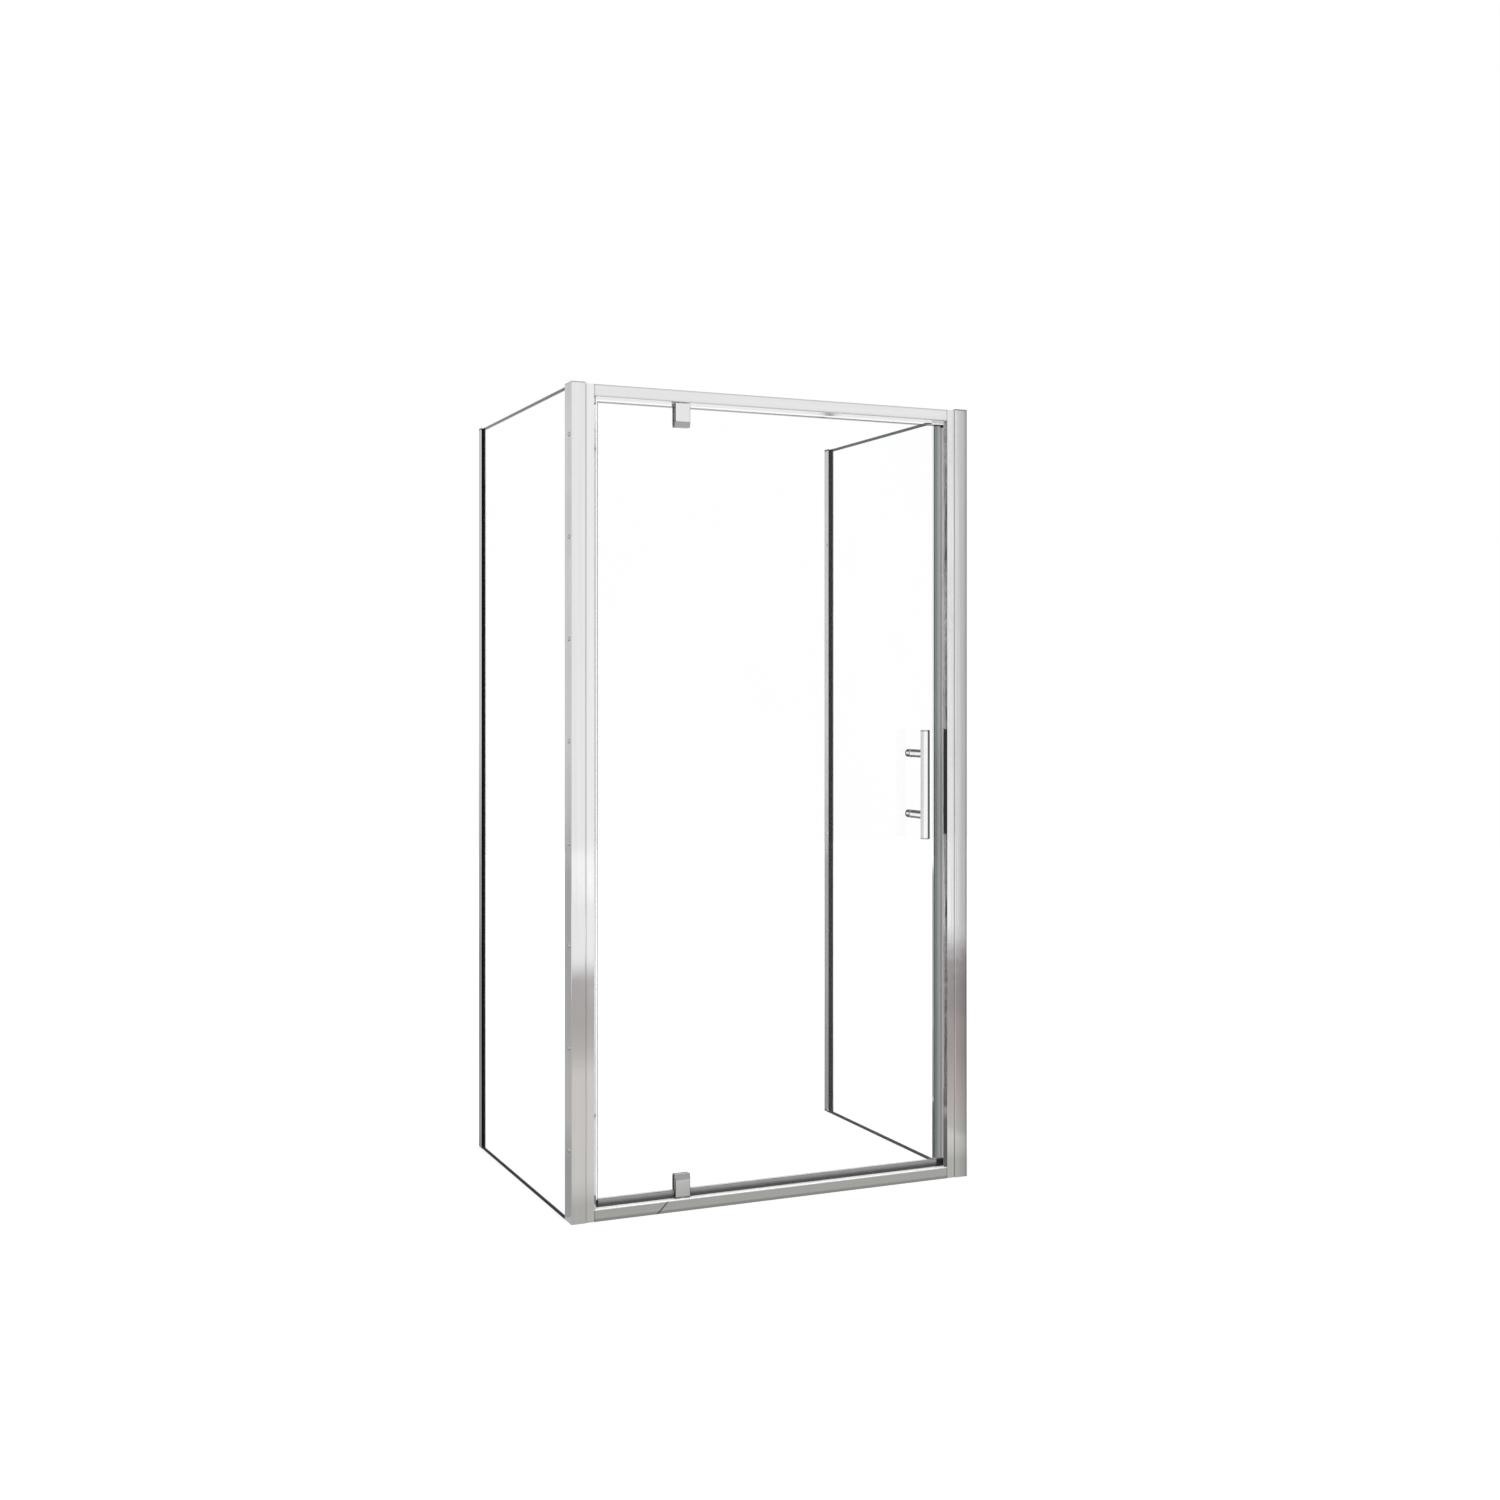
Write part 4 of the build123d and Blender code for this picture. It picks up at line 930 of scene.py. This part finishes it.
def card(name, low, high, tone_of, one_sided=False):
    """A card that only metal sees. tone_of is its tone, or makes the tone from tree and place."""
    sheet = flat_sheet(name, low, high)
    sheet.visible_camera = False
    sheet.visible_diffuse = False
    sheet.visible_transmission = False
    sheet.visible_shadow = False
    material = bpy.data.materials.new(name)
    material.use_nodes = True
    tree = material.node_tree
    tree.nodes.remove(tree.nodes["Principled BSDF"])
    glow = add_node(tree, "Emission")
    clear = add_node(tree, "BsdfTransparent")
    choice = add_node(tree, "MixShader")
    unseen = add_node(tree, "LightPath").outputs["Is Singular Ray"]
    if isinstance(tone_of, float):
        glow.inputs["Color"].default_value = (*grey(tone_of), 1.0)
    else:
        tree.links.new(tone_of(tree, add_node(tree, "TexCoord")), glow.inputs["Color"])
    if one_sided:
        unseen = calculate(tree, "MAXIMUM", unseen, add_node(tree, "NewGeometry").outputs["Backfacing"])
    tree.links.new(unseen, choice.inputs["Fac"])
    tree.links.new(glow.outputs["Emission"], choice.inputs[1])
    tree.links.new(clear.outputs["BSDF"], choice.inputs[2])
    tree.links.new(choice.outputs["Shader"], tree.nodes["Material Output"].inputs["Surface"])
    sheet.data.materials.append(material)


def by(axis, *stops):
    """A card's tone that changes along one axis, given as pairs of place and tone."""
    return lambda tree, place: ramp(tree, coordinate(tree, place, axis), stops)


def tinted(tree, tone, tint, reach):
    """The tone times the tint where reach is 1, and neutral where it is 0."""
    product = add_node(tree, "VectorMath", {"operation": "MULTIPLY"})
    tree.links.new(tone, product.inputs[0])
    tree.links.new(blend(tree, reach, NEUTRAL, tint), product.inputs[1])
    return product.outputs[0]


def front_cloth_tone(tree, place):
    """Tone of the cloth in front: by its depth, darker and warmer to the right, and white far off."""
    far_depths = ((-2.8, 0.475), (-2.3, 0.475), (-1.87, 0.53), (-1.5, 0.69))
    near_depths = ((-0.36, 0.69), (-0.24, 0.61), (-0.16, 0.51))
    by_side = ((0.6, 1.0), (0.72, 0.54), (0.87, 0.49), (1.05, 0.44), (1.24, 0.38), (2.3, 0.38))
    white_depths = ((-9.0, 1.0), (-3.85, 1.0), (-3.7, 0.95))
    fading_depths = ((-3.55, 0.81), (-3.4, 0.66), (-3.2, 0.40), (-3.0, 0.0))
    middle_tint, right_tint, near_tint = (1.045, 1.0, 0.98), (1.12, 1.0, 0.97), (1.012, 1.0, 0.965)
    right_start, right_full = 0.6, 0.87
    near_start, near_full = -0.8, -0.4
    untinted, tint_full = -3.6, -3.2
    x = coordinate(tree, place, "X")
    y = coordinate(tree, place, "Y")
    tone = calculate(tree, "MINIMUM", ramp(tree, y, far_depths + near_depths), ramp(tree, x, by_side))
    tone = calculate(tree, "MAXIMUM", tone, ramp(tree, y, white_depths + fading_depths))
    tint = blend(tree, span(tree, x, right_start, right_full), middle_tint, right_tint)
    tint = blend(tree, span(tree, y, near_start, near_full), tint, near_tint)
    return tinted(tree, tone, tint, span(tree, y, untinted, tint_full))


def right_cloth_tone(tree, place):
    """Tone of the cloth in front to the right: dark and a little pink, and paler far off."""
    pale_depths = ((-4.0, 0.85), (-3.75, 0.85), (-3.6, 0.75), (-3.5, 0.57))
    dark_depths = ((-3.38, 0.36), (-3.2, 0.33), (0.04, 0.33))
    pink_tint = (1.1, 1.0, 1.02)
    untinted, tint_full = -3.7, -3.4
    y = coordinate(tree, place, "Y")
    tone = ramp(tree, y, pale_depths + dark_depths)
    return tinted(tree, tone, pink_tint, span(tree, y, untinted, tint_full))


def cloth(name, left, right, front, back, tone_of, lift=cloth_lift):
    """A cloth that lies on the floor between these edges, in metres."""
    card(name, (left, front, lift), (right, back, lift), tone_of)


room_left, room_right = -6.4, 4.6
room_front, room_back = -4.0, 8.0
card_height = 6.0
cloth_join = 1.6
door_line, wall_line = 0.04, 0.745
left_wall_line, right_wall_line = -0.505, 0.49
inside_half = 0.43
ceiling_half, ceiling_height = 2.5, 4.6


def standing_card(name, start, end, tone_of):
    """A card that stands on the floor from start to end, seen from above, in metres."""
    card(name, (*start, 0.0), (*end, card_height), tone_of)


back_tone = by("Y", (wall_line, 0.33), (2.9, 0.42), (room_back, 0.45))
back_left_tone = by("Y", (0.3, 0.37), (0.5, 0.37), (0.9, 0.5), (1.5, 0.5), (2.2, 0.43), (room_back, 0.43))
cloth("front_cloth", left=-3.42, right=cloth_join, front=-9.0, back=door_line, tone_of=front_cloth_tone)
cloth("right_front_cloth", cloth_join, 3.42, room_front, door_line, right_cloth_tone)
cloth("back_cloth", left_wall_line, right_wall_line, wall_line, room_back, back_tone)
cloth("back_left_cloth", -3.4, left_wall_line, door_line, room_back, back_left_tone)
cloth("inside_cloth", -inside_half, inside_half, front=0.03, back=0.72, tone_of=0.11, lift=inside_cloth_lift)

left_back_tone = by("Z", (0.0, 0.45), (0.3, 0.53), (0.85, 0.66), (card_height, 0.66))
left_tone = by("Y", (-2.6, 0.78), (-1.2, 0.78), (-0.2, 0.42), (1.8, 0.42), (2.8, 0.78), (room_back, 0.78))
bright_edge = ((2.75, 1.0), (2.80, 0.93), (2.83, 0.80), (2.865, 0.62))
right_front_tone = by("X", *bright_edge, (2.9, 0.55), (room_right, 0.50))
right_tone = by("Y", (room_front, 0.35), (-3.4, 0.08), (0.6, 0.08), (1.5, 0.39), (room_back, 0.39))
standing_card("left_back_card", start=(-3.25, room_back), end=(-1.2, room_back), tone_of=left_back_tone)
standing_card("left_side_card", (room_left, -2.6), (room_left, room_back), left_tone)
standing_card("right_front_card", (2.75, room_front), (room_right, room_front), right_front_tone)
standing_card("right_side_card", (room_right, room_front), (room_right, room_back), right_tone)
ceiling_corner = (ceiling_half, ceiling_half, ceiling_height)
card("ceiling_card", (-ceiling_half, -ceiling_half, ceiling_height), ceiling_corner, tone_of=0.5)

card("bevel_flag", low=(-0.401, -0.553, 0.0), high=(-0.3807, -0.4853, 2.05), tone_of=0.02, one_sided=True)
card("handle_flag", low=(0.3791, -0.0637, 0.821), high=(0.3683, -0.0445, 1.079), tone_of=0.04)
card("low_flag", low=(-0.183, -0.430, 0.0), high=(-0.233, -0.342, 0.05), tone_of=0.18)


# Lamps: two large soft lamps high at the front, at a level where a colour comes out about as it is written.
# The stronger one stands to the left and the weaker one to the right, and neither shows in the metal.
lamp_aim = Vector((0.0, 0.3, 0.9))
lamp_size = 2.5


def soft_lamp(name, place, power):
    """A square area lamp aimed at the middle of the object."""
    lamp = bpy.data.lights.new(name, "AREA")
    lamp.shape = "SQUARE"
    lamp.size = lamp_size
    lamp.energy = power
    holder = bpy.data.objects.new(name, lamp)
    bpy.context.scene.collection.objects.link(holder)
    holder.location = place
    holder.rotation_euler = (lamp_aim - Vector(place)).to_track_quat("-Z", "Y").to_euler()
    holder.visible_glossy = False


soft_lamp("key_lamp", place=(-2.6, -3.4, 4.2), power=95.0)
soft_lamp("fill_lamp", place=(3.4, -2.2, 3.6), power=45.0)


# Camera: level, as high as a standing person's chest, in front of the left corner.
# The picture is a square of 1500 units, and its frame sits a little low, so the uprights stay plumb.
picture_side = 1500.0
focal_pixels = 1799.5
horizon_row = 696.1
sensor_mm = 36.0
camera_place = (-1.735, -3.782, 1.159)
camera_heading_deg = 23.84
camera_data = bpy.data.cameras.new("camera")
camera_data.sensor_width = sensor_mm
camera_data.lens = focal_pixels / picture_side * sensor_mm
camera_data.shift_y = (horizon_row - picture_side / 2) / picture_side
camera = bpy.data.objects.new("camera", camera_data)
bpy.context.scene.collection.objects.link(camera)
camera.location = camera_place
camera.rotation_euler = (math.radians(90.0), 0.0, -math.radians(camera_heading_deg))
bpy.context.scene.camera = camera
bpy.context.scene.view_settings.view_transform = "Standard"
